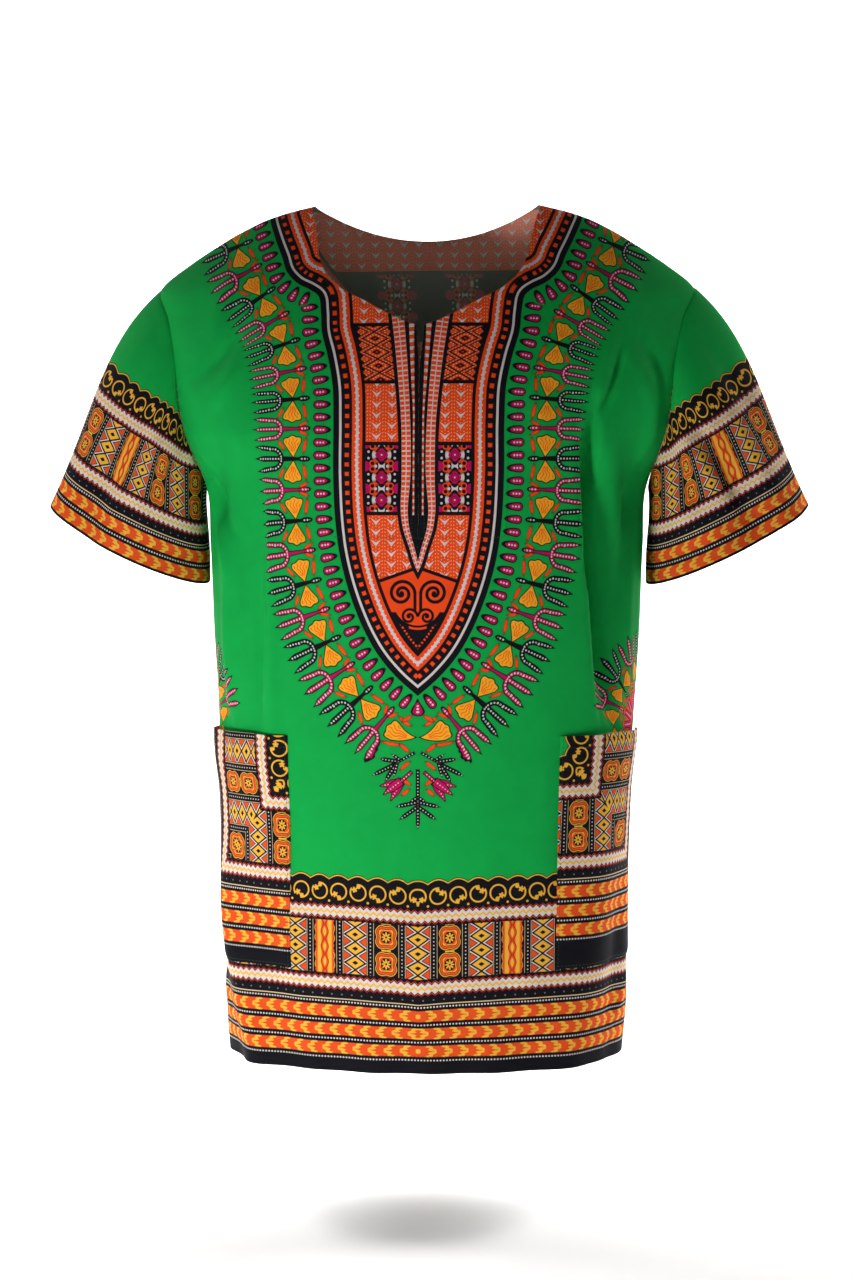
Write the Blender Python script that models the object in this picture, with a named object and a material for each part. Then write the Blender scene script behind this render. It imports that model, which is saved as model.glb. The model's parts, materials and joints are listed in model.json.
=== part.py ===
"""Dashiki shirt in the hollow shape that it has when it is worn, with nobody in it.

Metres, +Z up. The front faces -Y and +X is the wearer's left. The origin lies midway between the two
neck points, where the shoulders hold the shirt up. Each cut piece of cloth is one object: front, back,
two sleeves and two patch pockets. The body's shape is a stack of level outlines, a quarter of a squared
ellipse in each direction, and a point of the cloth is found by its run along the outline from the centre
line and its height.
"""

import bpy
import numpy as np

# Cloth and seams
CLOTH = 0.0015
SEAM_GAP = 0.0003

# Heights below the neck points
HEM = -0.799
UNDERARM = -0.262
SHOULDER_TIP = -0.077
SLIT_END = -0.315
NOTCH = -0.121
BACK_NECK = -0.030

# Level outlines of the body, hem first
OUTLINE_COLUMNS = ("height", "half_width", "front_depth", "back_depth", "squareness")
OUTLINES = (
    (-0.799, 0.1865, 0.131, 0.123, 2.10),
    (-0.750, 0.1905, 0.132, 0.123, 2.15),
    (-0.690, 0.1900, 0.134, 0.123, 2.25),
    (-0.600, 0.1905, 0.135, 0.122, 2.35),
    (-0.500, 0.1950, 0.136, 0.121, 2.40),
    (-0.400, 0.2015, 0.136, 0.120, 2.40),
    (-0.320, 0.2045, 0.134, 0.118, 2.40),
    (-0.262, 0.2085, 0.132, 0.117, 2.40),
    (-0.210, 0.234, 0.126, 0.116, 2.35),
    (-0.160, 0.249, 0.113, 0.110, 2.30),
    (-0.110, 0.254, 0.092, 0.095, 2.25),
    (-0.077, 0.250, 0.074, 0.078, 2.20),
    (-0.057, 0.2255, 0.060, 0.063, 2.20),
    (-0.040, 0.2005, 0.049, 0.052, 2.15),
    (-0.023, 0.1725, 0.037, 0.040, 2.10),
    (-0.0115, 0.148, 0.028, 0.031, 2.10),
    (-0.0055, 0.129, 0.023, 0.026, 2.10),
    (0.000, 0.106, 0.019, 0.022, 2.10),
)

# Soft vertical folds. Place is the run from the centre line at the fold's two ends, + to the wearer's
# left. Depth is outwards, and reach is the fold's half width.
FOLD_COLUMNS = ("panel", "low", "high", "low_place", "high_place", "depth", "reach")
FOLDS = (
    ("front", -0.799, -0.54, -0.158, -0.235, 0.0110, 0.024),
    ("front", -0.799, -0.50, 0.150, 0.180, 0.0050, 0.024),
    ("front", -0.799, -0.58, 0.205, 0.215, -0.0050, 0.018),
    ("front", -0.62, -0.44, -0.232, -0.225, 0.0030, 0.035),
    ("front", -0.34, -0.16, 0.215, 0.150, 0.0060, 0.018),
    ("front", -0.36, -0.18, 0.242, 0.205, -0.0060, 0.018),
    ("front", -0.34, -0.18, -0.232, -0.190, -0.0050, 0.018),
    ("front", -0.48, -0.24, -0.205, -0.190, 0.0040, 0.016),
    ("back", -0.799, -0.34, -0.075, -0.062, 0.0070, 0.026),
    ("back", -0.799, -0.36, 0.082, 0.070, 0.0070, 0.026),
    ("back", -0.799, -0.42, 0.000, 0.004, -0.0050, 0.030),
    ("back", -0.799, -0.40, -0.180, -0.160, -0.0060, 0.026),
    ("back", -0.799, -0.40, 0.184, 0.164, -0.0060, 0.026),
)

# Tucks: the cloth beyond the place drops back by depth over a short step and comes out again by the side.
TUCK_COLUMNS = ("low", "high", "low_place", "high_place", "depth", "step", "rise")
TUCKS = (
    (-0.50, -0.18, 0.172, 0.132, 0.0170, 0.012, 0.090),
    (-0.52, -0.22, -0.150, -0.134, 0.0090, 0.014, 0.100),
)

# A fold from the hem fades above this share of its height, and all folds end near the side seam
FOLD_FADE_START = 0.45
FOLD_END_SHARE = 0.90
TUCK_FULLNESS = 0.8

# Armholes, patch pockets and the neck
ARMHOLE_FRONT_SCOOP = 0.051
ARMHOLE_BACK_SCOOP = 0.048
ARMHOLE_FULLNESS = 0.55
NECK_HALF_WIDTH = 0.106
NECK_SHARE = 0.42
NECKLINE_COLUMNS = ("across", "height")
NECKLINE = (
    (0.000, -0.121),
    (0.0147, -0.116),
    (0.0310, -0.108),
    (0.0530, -0.0955),
    (0.0725, -0.0855),
    (0.0860, -0.0740),
    (0.0940, -0.0620),
    (0.1000, -0.0470),
    (0.1035, -0.0300),
    (0.1062, -0.0120),
    (0.1060, 0.0000),
)
SLIT_OPEN_TOP = 0.0035
SLIT_OPEN_LOW = 0.0005
SLIT_SPREAD = 0.040
POCKET_TOP = -0.4925
POCKET_BOTTOM = -0.7060
POCKET_INNER_RIGHT = 0.1215
POCKET_INNER_LEFT = 0.1310
POCKET_OUTER_MARGIN = 0.004
POCKET_LIFT = 0.0006
POCKET_GAPE = 0.0045
POCKET_GAPE_DEPTH = 0.060
POCKET_GAPE_FULLNESS = 0.8
POCKET_GAPE_START = 0.08

# Sleeves: the cuff is a flat oval
CUFF_INNER = (0.2072, -0.3560)
CUFF_OUTER = (0.3590, -0.2810)
CUFF_HALF_DEPTH = 0.050
CUFF_SET_BACK = 0.004
CUFF_FRONT_DROP = 0.012
MITRE_SHARE = 2.0

# The way that the sleeve leaves the armhole, at the underarm and at the shoulder tip
LEAVE_OUT = (0.08, 0.76)
LEAVE_FORWARD = 0.30
LEAVE_DOWN = (0.90, 0.64)

# Sleeve folds: turn is in degrees round the sleeve from its top by the front
SLEEVE_FOLD_COLUMNS = ("side", "turn", "reach", "depth", "start")
SLEEVE_FOLDS = (
    (-1, 95, 22, 0.0060, 0.15),
    (-1, 60, 18, -0.0060, 0.10),
    (-1, 265, 26, -0.0060, 0.15),
    (1, 70, 20, -0.0070, 0.20),
    (1, 45, 16, 0.0050, 0.20),
    (1, 270, 26, -0.0060, 0.15),
)

# How finely the cloth is divided
FRONT_COLUMNS = 38
BACK_COLUMNS = 28
HEM_ROWS = 4
POCKET_ROWS = 8
WAIST_ROWS = 7
CHEST_ROWS = 2
UPPER_ROWS = 12
SLEEVE_ROWS = 9
POCKET_INNER_COLUMN = 8
OUTLINE_SAMPLES = 160
SHOULDER_SAMPLES = 80
NECK_SAMPLES = 24
NORMAL_STEP = 0.002
SHARP_DEGREES = 40

PRINT_GREEN = (0.02, 0.36, 0.09, 1.0)
BORDER_RED = (0.78, 0.16, 0.03, 1.0)


def clear_scene():
    for item in list(bpy.data.objects):
        bpy.data.objects.remove(item)


def cotton(name, colour):
    material = bpy.data.materials.new(name)
    material.use_nodes = True
    shader = material.node_tree.nodes["Principled BSDF"]
    shader.inputs["Base Color"].default_value = colour
    shader.inputs["Roughness"].default_value = 0.75
    shader.inputs["Metallic"].default_value = 0.0
    return material


def soft_step(value):
    value = np.clip(value, 0.0, 1.0)
    return value * value * (3.0 - 2.0 * value)


def named_rows(table, names):
    """The table's rows with their values by column name."""
    return [dict(zip(names, row)) for row in table]


def column(table, names, name):
    return np.array([row[names.index(name)] for row in table], float)


def through(at, stations, values):
    """A smooth curve through the values at the rising stations, read at the places in at."""
    slopes = np.gradient(values, stations)
    index = np.clip(np.searchsorted(stations, at) - 1, 0, len(stations) - 2)
    span = stations[index + 1] - stations[index]
    part = np.clip((at - stations[index]) / span, 0.0, 1.0)
    start = (1 + 2 * part) * (1 - part) ** 2
    end = part**2 * (3 - 2 * part)
    rise = part * (1 - part) ** 2 * span
    fall = part**2 * (part - 1) * span
    return (
        start * values[index]
        + end * values[index + 1]
        + rise * slopes[index]
        + fall * slopes[index + 1]
    )


def outline_value(name, height):
    heights = column(OUTLINES, OUTLINE_COLUMNS, "height")
    return through(height, heights, column(OUTLINES, OUTLINE_COLUMNS, name))


def fold_push(panel, run, height):
    """How far the folds move the cloth outwards, at a signed run along the plain outline."""
    push = np.zeros(np.broadcast(run, height).shape)
    for fold in named_rows(FOLDS, FOLD_COLUMNS):
        if fold["panel"] != panel:
            continue
        low, high = fold["low"], fold["high"]
        along = np.clip((height - low) / (high - low), 0.0, 1.0)
        place = fold["low_place"] + (fold["high_place"] - fold["low_place"]) * along
        if low <= HEM:
            fade = 1.0 - soft_step((along - FOLD_FADE_START) / (1.0 - FOLD_FADE_START))
        else:
            fade = np.sin(np.pi * along) ** 2
        fade = np.where((height > high) | (height < low), 0.0, fade)
        push += fold["depth"] * fade * np.exp(-(((run - place) / fold["reach"]) ** 2))
    if panel == "front":
        for tuck in named_rows(TUCKS, TUCK_COLUMNS):
            along = np.clip((height - tuck["low"]) / (tuck["high"] - tuck["low"]), 0.0, 1.0)
            place = tuck["low_place"] + (tuck["high_place"] - tuck["low_place"]) * along
            past = np.sign(tuck["low_place"]) * (run - place)
            drop = soft_step(past / tuck["step"])
            drop = drop * (1.0 - soft_step((past - tuck["step"]) / tuck["rise"]))
            push -= tuck["depth"] * np.sin(np.pi * along) ** TUCK_FULLNESS * drop
    return push


def level_curve(panel, side, height):
    """Points and runs of half of a level outline, from the centre line to the side, one row a height."""
    height = np.asarray(height, float).reshape(-1, 1)
    half_width = outline_value("half_width", height)
    depth = outline_value(panel + "_depth", height)
    power = 2.0 / outline_value("squareness", height)
    turn = 0.25 * np.pi * (1.0 - np.cos(np.linspace(0.0, np.pi, OUTLINE_SAMPLES)))
    across = half_width * np.sin(turn) ** power
    out = depth * np.abs(np.cos(turn)) ** power
    out[:, -1] = 0.0
    step = np.hypot(np.diff(across, axis=1), np.diff(out, axis=1))
    run = np.concatenate([np.zeros_like(height), np.cumsum(step, axis=1)], axis=1)
    slope_across = np.gradient(across, axis=1)
    slope_out = np.gradient(out, axis=1)
    length = np.hypot(slope_across, slope_out)
    push = fold_push(panel, side * run, height)
    near_side = (run / run[:, -1:] - FOLD_END_SHARE) / (1.0 - FOLD_END_SHARE)
    push = push * (1.0 - soft_step(near_side))
    across = across - push * slope_out / length
    out = out + push * slope_across / length
    across[:, 0] = 0.0
    step = np.hypot(np.diff(across, axis=1), np.diff(out, axis=1))
    run = np.concatenate([np.zeros_like(height), np.cumsum(step, axis=1)], axis=1)
    return across, out, run


def read_rows(place, runs, values):
    """Each row's value at its own place along its rising runs."""
    index = np.clip((runs < place[:, None]).sum(axis=1) - 1, 0, runs.shape[1] - 2)
    rows = np.arange(len(place))
    low, high = runs[rows, index], runs[rows, index + 1]
    part = (place - low) / np.maximum(high - low, 1e-12)
    return values[rows, index] * (1.0 - part) + values[rows, index + 1] * part


def half_girth(panel, side, height):
    """The run from the centre line to the side seam."""
    return level_curve(panel, side, height)[2][:, -1]


def cloth_points(panel, run, height):
    """Where the outer face of a body panel is, at signed runs and heights."""
    run, height = np.broadcast_arrays(np.asarray(run, float), np.asarray(height, float))
    shape = run.shape
    run, height = run.reshape(-1), height.reshape(-1)
    points = np.zeros((len(run), 3))
    facing = -1.0 if panel == "front" else 1.0
    for side in (-1, 1):
        pick = run * side > 0 if side > 0 else run <= 0
        if not pick.any():
            continue
        across, out, runs = level_curve(panel, side, height[pick])
        place = np.minimum(np.abs(run[pick]), runs[:, -1])
        points[pick, 0] = side * read_rows(place, runs, across)
        points[pick, 1] = facing * (read_rows(place, runs, out) + 0.5 * SEAM_GAP)
        points[pick, 2] = height[pick]
    return points.reshape(*shape, 3)


def cloth_normals(panel, run, height):
    """Outward directions of a body panel."""
    run_ahead = cloth_points(panel, run + NORMAL_STEP, height)
    run_behind = cloth_points(panel, run - NORMAL_STEP, height)
    above = cloth_points(panel, run, np.minimum(height + NORMAL_STEP, 0.0))
    below = cloth_points(panel, run, np.maximum(height - NORMAL_STEP, HEM))
    normal = np.cross(run_ahead - run_behind, above - below)
    if panel == "back":
        normal = -normal
    return normal / np.linalg.norm(normal, axis=-1, keepdims=True)


def armhole_run(panel, side, height):
    """The run from the centre line to the armhole's edge, for heights from the underarm to the tip."""
    scoop = ARMHOLE_FRONT_SCOOP if panel == "front" else ARMHOLE_BACK_SCOOP
    part = np.clip((height - UNDERARM) / (SHOULDER_TIP - UNDERARM), 0.0, 1.0)
    reach = scoop * np.sin(np.pi * part) ** ARMHOLE_FULLNESS
    _, out, runs = level_curve(panel, side, height)
    edge = [
        np.interp(-depth, -row_out, row_run) if depth > 1e-6 else row_run[-1]
        for depth, row_out, row_run in zip(reach, out, runs)
    ]
    return np.array(edge)


def shoulder_height(panel, side, run):
    """The height at which the shoulder seam has this run from the centre line."""
    heights = np.linspace(SHOULDER_TIP, 0.0, SHOULDER_SAMPLES)
    reach = half_girth(panel, side, heights)
    return np.interp(-run, -reach, heights)


def run_at_across(panel, side, across, height):
    """The run of points given by how far across they are."""
    curve_across, _, runs = level_curve(panel, side, height)
    return read_rows(across, curve_across, runs)


def neck_edge(panel, side, part):
    """Run and height of the neckline, from the centre at part 0 to the neck point at part 1."""
    if panel == "front":
        across = column(NECKLINE, NECKLINE_COLUMNS, "across")
        height = column(NECKLINE, NECKLINE_COLUMNS, "height")
    else:
        across = NECK_HALF_WIDTH * np.sin(np.linspace(0.0, 0.5 * np.pi, NECK_SAMPLES))
        height = BACK_NECK * (1.0 - (across / NECK_HALF_WIDTH) ** 2)
    run = run_at_across(panel, side, across, height)
    length = np.concatenate([[0.0], np.cumsum(np.hypot(np.diff(run), np.diff(height)))])
    at = np.asarray(part) * length[-1]
    return np.interp(at, length, run), np.interp(at, length, height)


def lower_levels():
    """Heights of the level rows: the pocket's two ends and the slit's end each have one."""
    marks = (HEM, POCKET_BOTTOM, POCKET_TOP, SLIT_END, UNDERARM)
    counts = (HEM_ROWS, POCKET_ROWS, WAIST_ROWS, CHEST_ROWS)
    levels = [np.array([HEM])]
    for low, high, count in zip(marks, marks[1:], counts):
        levels.append(np.linspace(low, high, count + 1)[1:])
    return np.concatenate(levels)


def panel_grid(panel, side, columns):
    """Runs and heights of one half of a body panel, rows from hem to top, columns from the centre out."""
    low = lower_levels()
    girth = half_girth(panel, side, low)
    neck_column = round(columns * NECK_SHARE)
    neck_part = neck_column / columns
    if panel == "front":
        inner = POCKET_INNER_LEFT if side > 0 else POCKET_INNER_RIGHT
        neck_part = inner / girth[HEM_ROWS + POCKET_ROWS]
    parts = np.interp(np.arange(columns + 1), (0, neck_column, columns), (0.0, neck_part, 1.0))
    runs = [parts * reach for reach in girth]
    heights = [np.full(columns + 1, level) for level in low]
    tip_run = half_girth(panel, side, [SHOULDER_TIP])[0]
    neck_run, neck_height = neck_edge(panel, side, np.clip(parts / neck_part, 0.0, 1.0))
    shoulder_part = np.clip((parts - neck_part) / (1.0 - neck_part), 0.0, 1.0)
    neck_point_run = half_girth(panel, side, [0.0])[0]
    shoulder_run = neck_point_run + (tip_run - neck_point_run) * shoulder_part
    on_neck = parts <= neck_part + 1e-9
    top_run = np.where(on_neck, neck_run, shoulder_run)
    top_height = np.where(on_neck, neck_height, shoulder_height(panel, side, shoulder_run))
    for rise in np.linspace(0.0, 1.0, UPPER_ROWS + 1)[1:]:
        edge_height = UNDERARM + (SHOULDER_TIP - UNDERARM) * rise
        edge_run = armhole_run(panel, side, np.array([edge_height]))[0]
        runs.append(parts * edge_run + rise * (top_run - parts * tip_run))
        heights.append(UNDERARM + (top_height - UNDERARM) * rise)
    return np.array(runs), np.array(heights)


def slit_half_gap(height):
    """Half of the slit's opening at a height."""
    part = soft_step((height - (NOTCH - SLIT_SPREAD)) / SLIT_SPREAD)
    return SLIT_OPEN_LOW + (SLIT_OPEN_TOP - SLIT_OPEN_LOW) * part


def whole_panel(panel, columns):
    """Runs and heights of a whole panel from -X to +X, with the centre line in it twice."""
    left_run, left_height = panel_grid(panel, -1, columns)
    right_run, right_height = panel_grid(panel, 1, columns)
    run = np.concatenate([-left_run[:, ::-1], right_run], axis=1)
    height = np.concatenate([left_height[:, ::-1], right_height], axis=1)
    return run, height


def sheet_faces(rows, columns, closed=False):
    """Four-sided faces of a grid whose points are numbered row by row."""
    faces = []
    wide = columns if closed else columns - 1
    for row in range(rows - 1):
        for place in range(wide):
            ahead = (place + 1) % columns
            low = row * columns
            faces.append((low + place, low + ahead, low + columns + ahead, low + columns + place))
    return faces


def thick_cloth(name, outer, inner, faces, material):
    """A closed wall between two sheets with the same faces, cut into triangles the same way."""
    count = len(outer)
    edges = {}
    for face in faces:
        for start, end in zip(face, face[1:] + face[:1]):
            edges[(start, end)] = True
    rim = [edge for edge in edges if (edge[1], edge[0]) not in edges]
    walls = list(faces)
    walls += [tuple(count + face[corner] for corner in (0, 3, 2, 1)) for face in faces]
    walls += [(end, start, count + start, count + end) for start, end in rim]
    mesh = bpy.data.meshes.new(name)
    mesh.from_pydata([tuple(point) for point in np.concatenate([outer, inner])], [], walls)
    mesh.materials.append(material)
    mesh.validate()
    mesh.shade_smooth()
    mesh.set_sharp_from_angle(angle=np.radians(SHARP_DEGREES))
    item = bpy.data.objects.new(name, mesh)
    bpy.context.scene.collection.objects.link(item)
    return item


def front_panel(material):
    run, height = whole_panel("front", FRONT_COLUMNS // 2)
    rows, columns = run.shape
    middle = columns // 2
    points = cloth_points("front", run, height)
    normals = cloth_normals("front", run, height)
    slit_row = HEM_ROWS + POCKET_ROWS + WAIST_ROWS
    faces = sheet_faces(rows, columns)
    kept = []
    for face in faces:
        row, place = divmod(face[0], columns)
        if place == middle - 1:
            continue
        kept.append(face)
    joined = {}
    for row in range(rows):
        left, right = row * columns + middle - 1, row * columns + middle
        if row <= slit_row:
            joined[right] = left
        else:
            gap = slit_half_gap(height[row, middle])
            points[row, middle - 1, 0] = -gap
            points[row, middle, 0] = gap
    order = [number for number in range(rows * columns) if number not in joined]
    new_number = {old: new for new, old in enumerate(order)}
    for old, stands_for in joined.items():
        new_number[old] = new_number[stands_for]
    faces = [tuple(new_number[corner] for corner in face) for face in kept]
    outer = points.reshape(-1, 3)[order]
    inner = outer - CLOTH * normals.reshape(-1, 3)[order]
    return thick_cloth("front", outer, inner, faces, material)


def back_panel(material):
    run, height = whole_panel("back", BACK_COLUMNS // 2)
    middle = run.shape[1] // 2
    keep = [place for place in range(run.shape[1]) if place != middle]
    run, height = run[:, keep], height[:, keep]
    rows, columns = run.shape
    outer = cloth_points("back", run, height).reshape(-1, 3)
    normals = cloth_normals("back", run, height).reshape(-1, 3)
    faces = [tuple(reversed(face)) for face in sheet_faces(rows, columns)]
    return thick_cloth("back", outer, outer - CLOTH * normals, faces, material)


def armhole_ring(side):
    """The armhole's edge and its outward directions, down the front from the tip and up the back."""
    rises = np.linspace(1.0, 0.0, UPPER_ROWS + 1)
    levels = UNDERARM + (SHOULDER_TIP - UNDERARM) * rises
    front = cloth_points("front", side * armhole_run("front", side, levels), levels)
    back = cloth_points("back", side * armhole_run("back", side, levels), levels)[::-1]
    front[0, 1] = front[-1, 1] = 0.0
    front_facing = cloth_normals("front", side * armhole_run("front", side, levels), levels)
    back_facing = cloth_normals("back", side * armhole_run("back", side, levels), levels)[::-1]
    front_facing[0, 1] = front_facing[-1, 1] = 0.0
    ring = np.concatenate([front, back[1:-1]])
    return ring, np.concatenate([front_facing, back_facing[1:-1]])


def sleeve_rows(side, rows):
    """The sleeve's outer face, armhole first, each row a ring from the top round by the front."""
    ring, _ = armhole_ring(side)
    turns = np.linspace(0.0, 2.0 * np.pi, len(ring) + 1)[:-1]
    inner = np.array([CUFF_INNER[0], CUFF_SET_BACK, CUFF_INNER[1]])
    outer = np.array([CUFF_OUTER[0], CUFF_SET_BACK, CUFF_OUTER[1]])
    middle, half = 0.5 * (inner + outer), 0.5 * (outer - inner)
    down = np.array([half[2], 0.0, -half[0]]) / np.hypot(half[0], half[2])
    cuff = middle + np.cos(turns)[:, None] * half
    cuff[:, 1] -= CUFF_HALF_DEPTH * np.sin(turns)
    cuff += (CUFF_FRONT_DROP * np.sin(turns))[:, None] * down
    cuff[:, 0] *= side
    down[0] *= side
    top = 0.5 + 0.5 * np.cos(turns)
    leave_out = side * (LEAVE_OUT[0] + (LEAVE_OUT[1] - LEAVE_OUT[0]) * top)
    leave_down = LEAVE_DOWN[0] + (LEAVE_DOWN[1] - LEAVE_DOWN[0]) * top
    leave = np.stack([leave_out, -LEAVE_FORWARD * np.sin(turns), -leave_down], axis=1)
    leave /= np.linalg.norm(leave, axis=1, keepdims=True)
    start = ring + SEAM_GAP * leave
    reach = np.linalg.norm(cuff - start, axis=1)[:, None]
    arrive = down * top[:, None]
    arrive[:, 2] -= 1.0 - top
    arrive /= np.linalg.norm(arrive, axis=1, keepdims=True)
    stations = []
    for part in np.linspace(0.0, 1.0, rows + 1):
        begin = (1 + 2 * part) * (1 - part) ** 2
        end = part**2 * (3 - 2 * part)
        off = part * (1 - part) ** 2
        meet = part**2 * (part - 1)
        point = begin * start + end * cuff + off * reach * leave + meet * reach * arrive
        outward = point - point.mean(axis=0)
        outward -= np.outer(outward @ down, down)
        outward /= np.linalg.norm(outward, axis=1, keepdims=True)
        push = np.zeros(len(ring))
        for fold in named_rows(SLEEVE_FOLDS, SLEEVE_FOLD_COLUMNS):
            if fold["side"] == side:
                away = (np.degrees(turns) - fold["turn"]) / fold["reach"]
                grown = soft_step((part - fold["start"]) / (1.0 - fold["start"]))
                push += fold["depth"] * np.exp(-(away**2)) * grown
        stations.append(point + push[:, None] * outward)
    return np.array(stations)


def grid_normals(points):
    """Outward directions of a tube's rows, from its neighbours."""
    around = np.roll(points, -1, axis=1) - np.roll(points, 1, axis=1)
    along = np.gradient(points, axis=0)
    normal = np.cross(along, around)
    return normal / np.linalg.norm(normal, axis=-1, keepdims=True)


def sleeve(name, side, material):
    outer = sleeve_rows(side, SLEEVE_ROWS)
    normals = -side * grid_normals(outer)
    _, body_facing = armhole_ring(side)
    share = soft_step(MITRE_SHARE * (normals[0] * body_facing).sum(axis=1))[:, None]
    mitre = normals[0] * (1.0 - share) + body_facing * share
    normals[0] = mitre / np.linalg.norm(mitre, axis=1, keepdims=True)
    rows, columns = outer.shape[:2]
    faces = sheet_faces(rows, columns, closed=True)
    if side < 0:
        faces = [tuple(reversed(face)) for face in faces]
    flat = outer.reshape(-1, 3)
    inner = flat - CLOTH * normals.reshape(-1, 3)
    return thick_cloth(name, flat, inner, faces, material)


def pocket(name, side, material):
    """A patch made from the front's own points, moved out, that stands off a little at its mouth."""
    run, height = whole_panel("front", FRONT_COLUMNS // 2)
    reach = FRONT_COLUMNS // 2
    first = reach - POCKET_INNER_COLUMN
    pick = slice(0, first + 1) if side < 0 else slice(reach + 1 + POCKET_INNER_COLUMN, None)
    rows = slice(HEM_ROWS, HEM_ROWS + POCKET_ROWS + 1)
    run, height = run[rows, pick], height[rows, pick]
    girth = half_girth("front", side, height[:, 0])[:, None]
    last = girth - POCKET_OUTER_MARGIN
    run = np.clip(run, -last, last)
    part = (last - np.abs(run)) / (last - np.abs(run).min(axis=1, keepdims=True))
    lift = soft_step(1.0 - (POCKET_TOP - height) / POCKET_GAPE_DEPTH)
    turn = np.pi * (POCKET_GAPE_START + (1.0 - POCKET_GAPE_START) * part)
    stand_off = POCKET_GAPE * lift * np.clip(np.sin(turn), 0.0, 1.0) ** POCKET_GAPE_FULLNESS
    base = cloth_points("front", run, height)
    normals = cloth_normals("front", run, height)
    inner = base + (POCKET_LIFT + stand_off)[..., None] * normals
    outer = inner + CLOTH * normals
    faces = sheet_faces(*run.shape)
    return thick_cloth(name, outer.reshape(-1, 3), inner.reshape(-1, 3), faces, material)


def build_shirt():
    green = cotton("printed_cotton_green", PRINT_GREEN)
    border = cotton("printed_cotton_border", BORDER_RED)
    front_panel(green)
    back_panel(green)
    sleeve("sleeve_right", -1, green)
    sleeve("sleeve_left", 1, green)
    pocket("pocket_right", -1, border)
    pocket("pocket_left", 1, border)


clear_scene()
build_shirt()
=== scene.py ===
"""The dashiki shirt's cloth, printed pattern, sewing and light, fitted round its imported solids.

Metres, +Z up, front towards -Y. A place on a body panel is its run along the cloth from the centre line
and its height. The print is drawn by the materials, in millimetres, from maps that each piece carries.
"""

import json

import bpy
import numpy as np
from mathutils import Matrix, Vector

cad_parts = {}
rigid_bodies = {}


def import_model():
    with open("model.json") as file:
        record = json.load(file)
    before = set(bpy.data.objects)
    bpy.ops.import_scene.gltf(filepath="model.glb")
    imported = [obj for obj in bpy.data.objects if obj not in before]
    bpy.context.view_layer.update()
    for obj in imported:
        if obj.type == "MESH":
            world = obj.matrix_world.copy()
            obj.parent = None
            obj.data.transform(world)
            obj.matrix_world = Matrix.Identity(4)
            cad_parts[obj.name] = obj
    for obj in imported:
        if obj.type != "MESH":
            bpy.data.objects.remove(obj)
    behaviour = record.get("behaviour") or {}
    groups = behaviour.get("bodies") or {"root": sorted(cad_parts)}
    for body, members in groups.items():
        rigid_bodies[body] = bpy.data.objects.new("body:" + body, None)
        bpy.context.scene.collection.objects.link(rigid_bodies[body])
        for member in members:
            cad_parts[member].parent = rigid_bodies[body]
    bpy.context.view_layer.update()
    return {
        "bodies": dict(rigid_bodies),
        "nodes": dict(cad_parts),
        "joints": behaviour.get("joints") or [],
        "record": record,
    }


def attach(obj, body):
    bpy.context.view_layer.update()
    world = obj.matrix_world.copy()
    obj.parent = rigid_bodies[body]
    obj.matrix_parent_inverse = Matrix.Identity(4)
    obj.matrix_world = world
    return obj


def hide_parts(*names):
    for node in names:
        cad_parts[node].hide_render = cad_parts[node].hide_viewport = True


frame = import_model()

# Sizes shared with the solids
HEM = -0.799
UNDERARM = -0.262
SHOULDER_TIP = -0.077
SLIT_END = -0.315
NOTCH = -0.121
BACK_NECK = -0.030
SEAM_GAP = 0.0003
OUTLINE_COLUMNS = ("height", "half_width", "front_depth", "back_depth", "squareness")
OUTLINES = (
    (-0.799, 0.1865, 0.131, 0.123, 2.10),
    (-0.750, 0.1905, 0.132, 0.123, 2.15),
    (-0.690, 0.1900, 0.134, 0.123, 2.25),
    (-0.600, 0.1905, 0.135, 0.122, 2.35),
    (-0.500, 0.1950, 0.136, 0.121, 2.40),
    (-0.400, 0.2015, 0.136, 0.120, 2.40),
    (-0.320, 0.2045, 0.134, 0.118, 2.40),
    (-0.262, 0.2085, 0.132, 0.117, 2.40),
    (-0.210, 0.234, 0.126, 0.116, 2.35),
    (-0.160, 0.249, 0.113, 0.110, 2.30),
    (-0.110, 0.254, 0.092, 0.095, 2.25),
    (-0.077, 0.250, 0.074, 0.078, 2.20),
    (-0.057, 0.2255, 0.060, 0.063, 2.20),
    (-0.040, 0.2005, 0.049, 0.052, 2.15),
    (-0.023, 0.1725, 0.037, 0.040, 2.10),
    (-0.0115, 0.148, 0.028, 0.031, 2.10),
    (-0.0055, 0.129, 0.023, 0.026, 2.10),
    (0.000, 0.106, 0.019, 0.022, 2.10),
)
FOLD_COLUMNS = ("panel", "low", "high", "low_place", "high_place", "depth", "reach")
FOLDS = (
    ("front", -0.799, -0.54, -0.158, -0.235, 0.0110, 0.024),
    ("front", -0.799, -0.50, 0.150, 0.180, 0.0050, 0.024),
    ("front", -0.799, -0.58, 0.205, 0.215, -0.0050, 0.018),
    ("front", -0.62, -0.44, -0.232, -0.225, 0.0030, 0.035),
    ("front", -0.34, -0.16, 0.215, 0.150, 0.0060, 0.018),
    ("front", -0.36, -0.18, 0.242, 0.205, -0.0060, 0.018),
    ("front", -0.34, -0.18, -0.232, -0.190, -0.0050, 0.018),
    ("front", -0.48, -0.24, -0.205, -0.190, 0.0040, 0.016),
    ("back", -0.799, -0.34, -0.075, -0.062, 0.0070, 0.026),
    ("back", -0.799, -0.36, 0.082, 0.070, 0.0070, 0.026),
    ("back", -0.799, -0.42, 0.000, 0.004, -0.0050, 0.030),
    ("back", -0.799, -0.40, -0.180, -0.160, -0.0060, 0.026),
    ("back", -0.799, -0.40, 0.184, 0.164, -0.0060, 0.026),
)
TUCK_COLUMNS = ("low", "high", "low_place", "high_place", "depth", "step", "rise")
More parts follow.
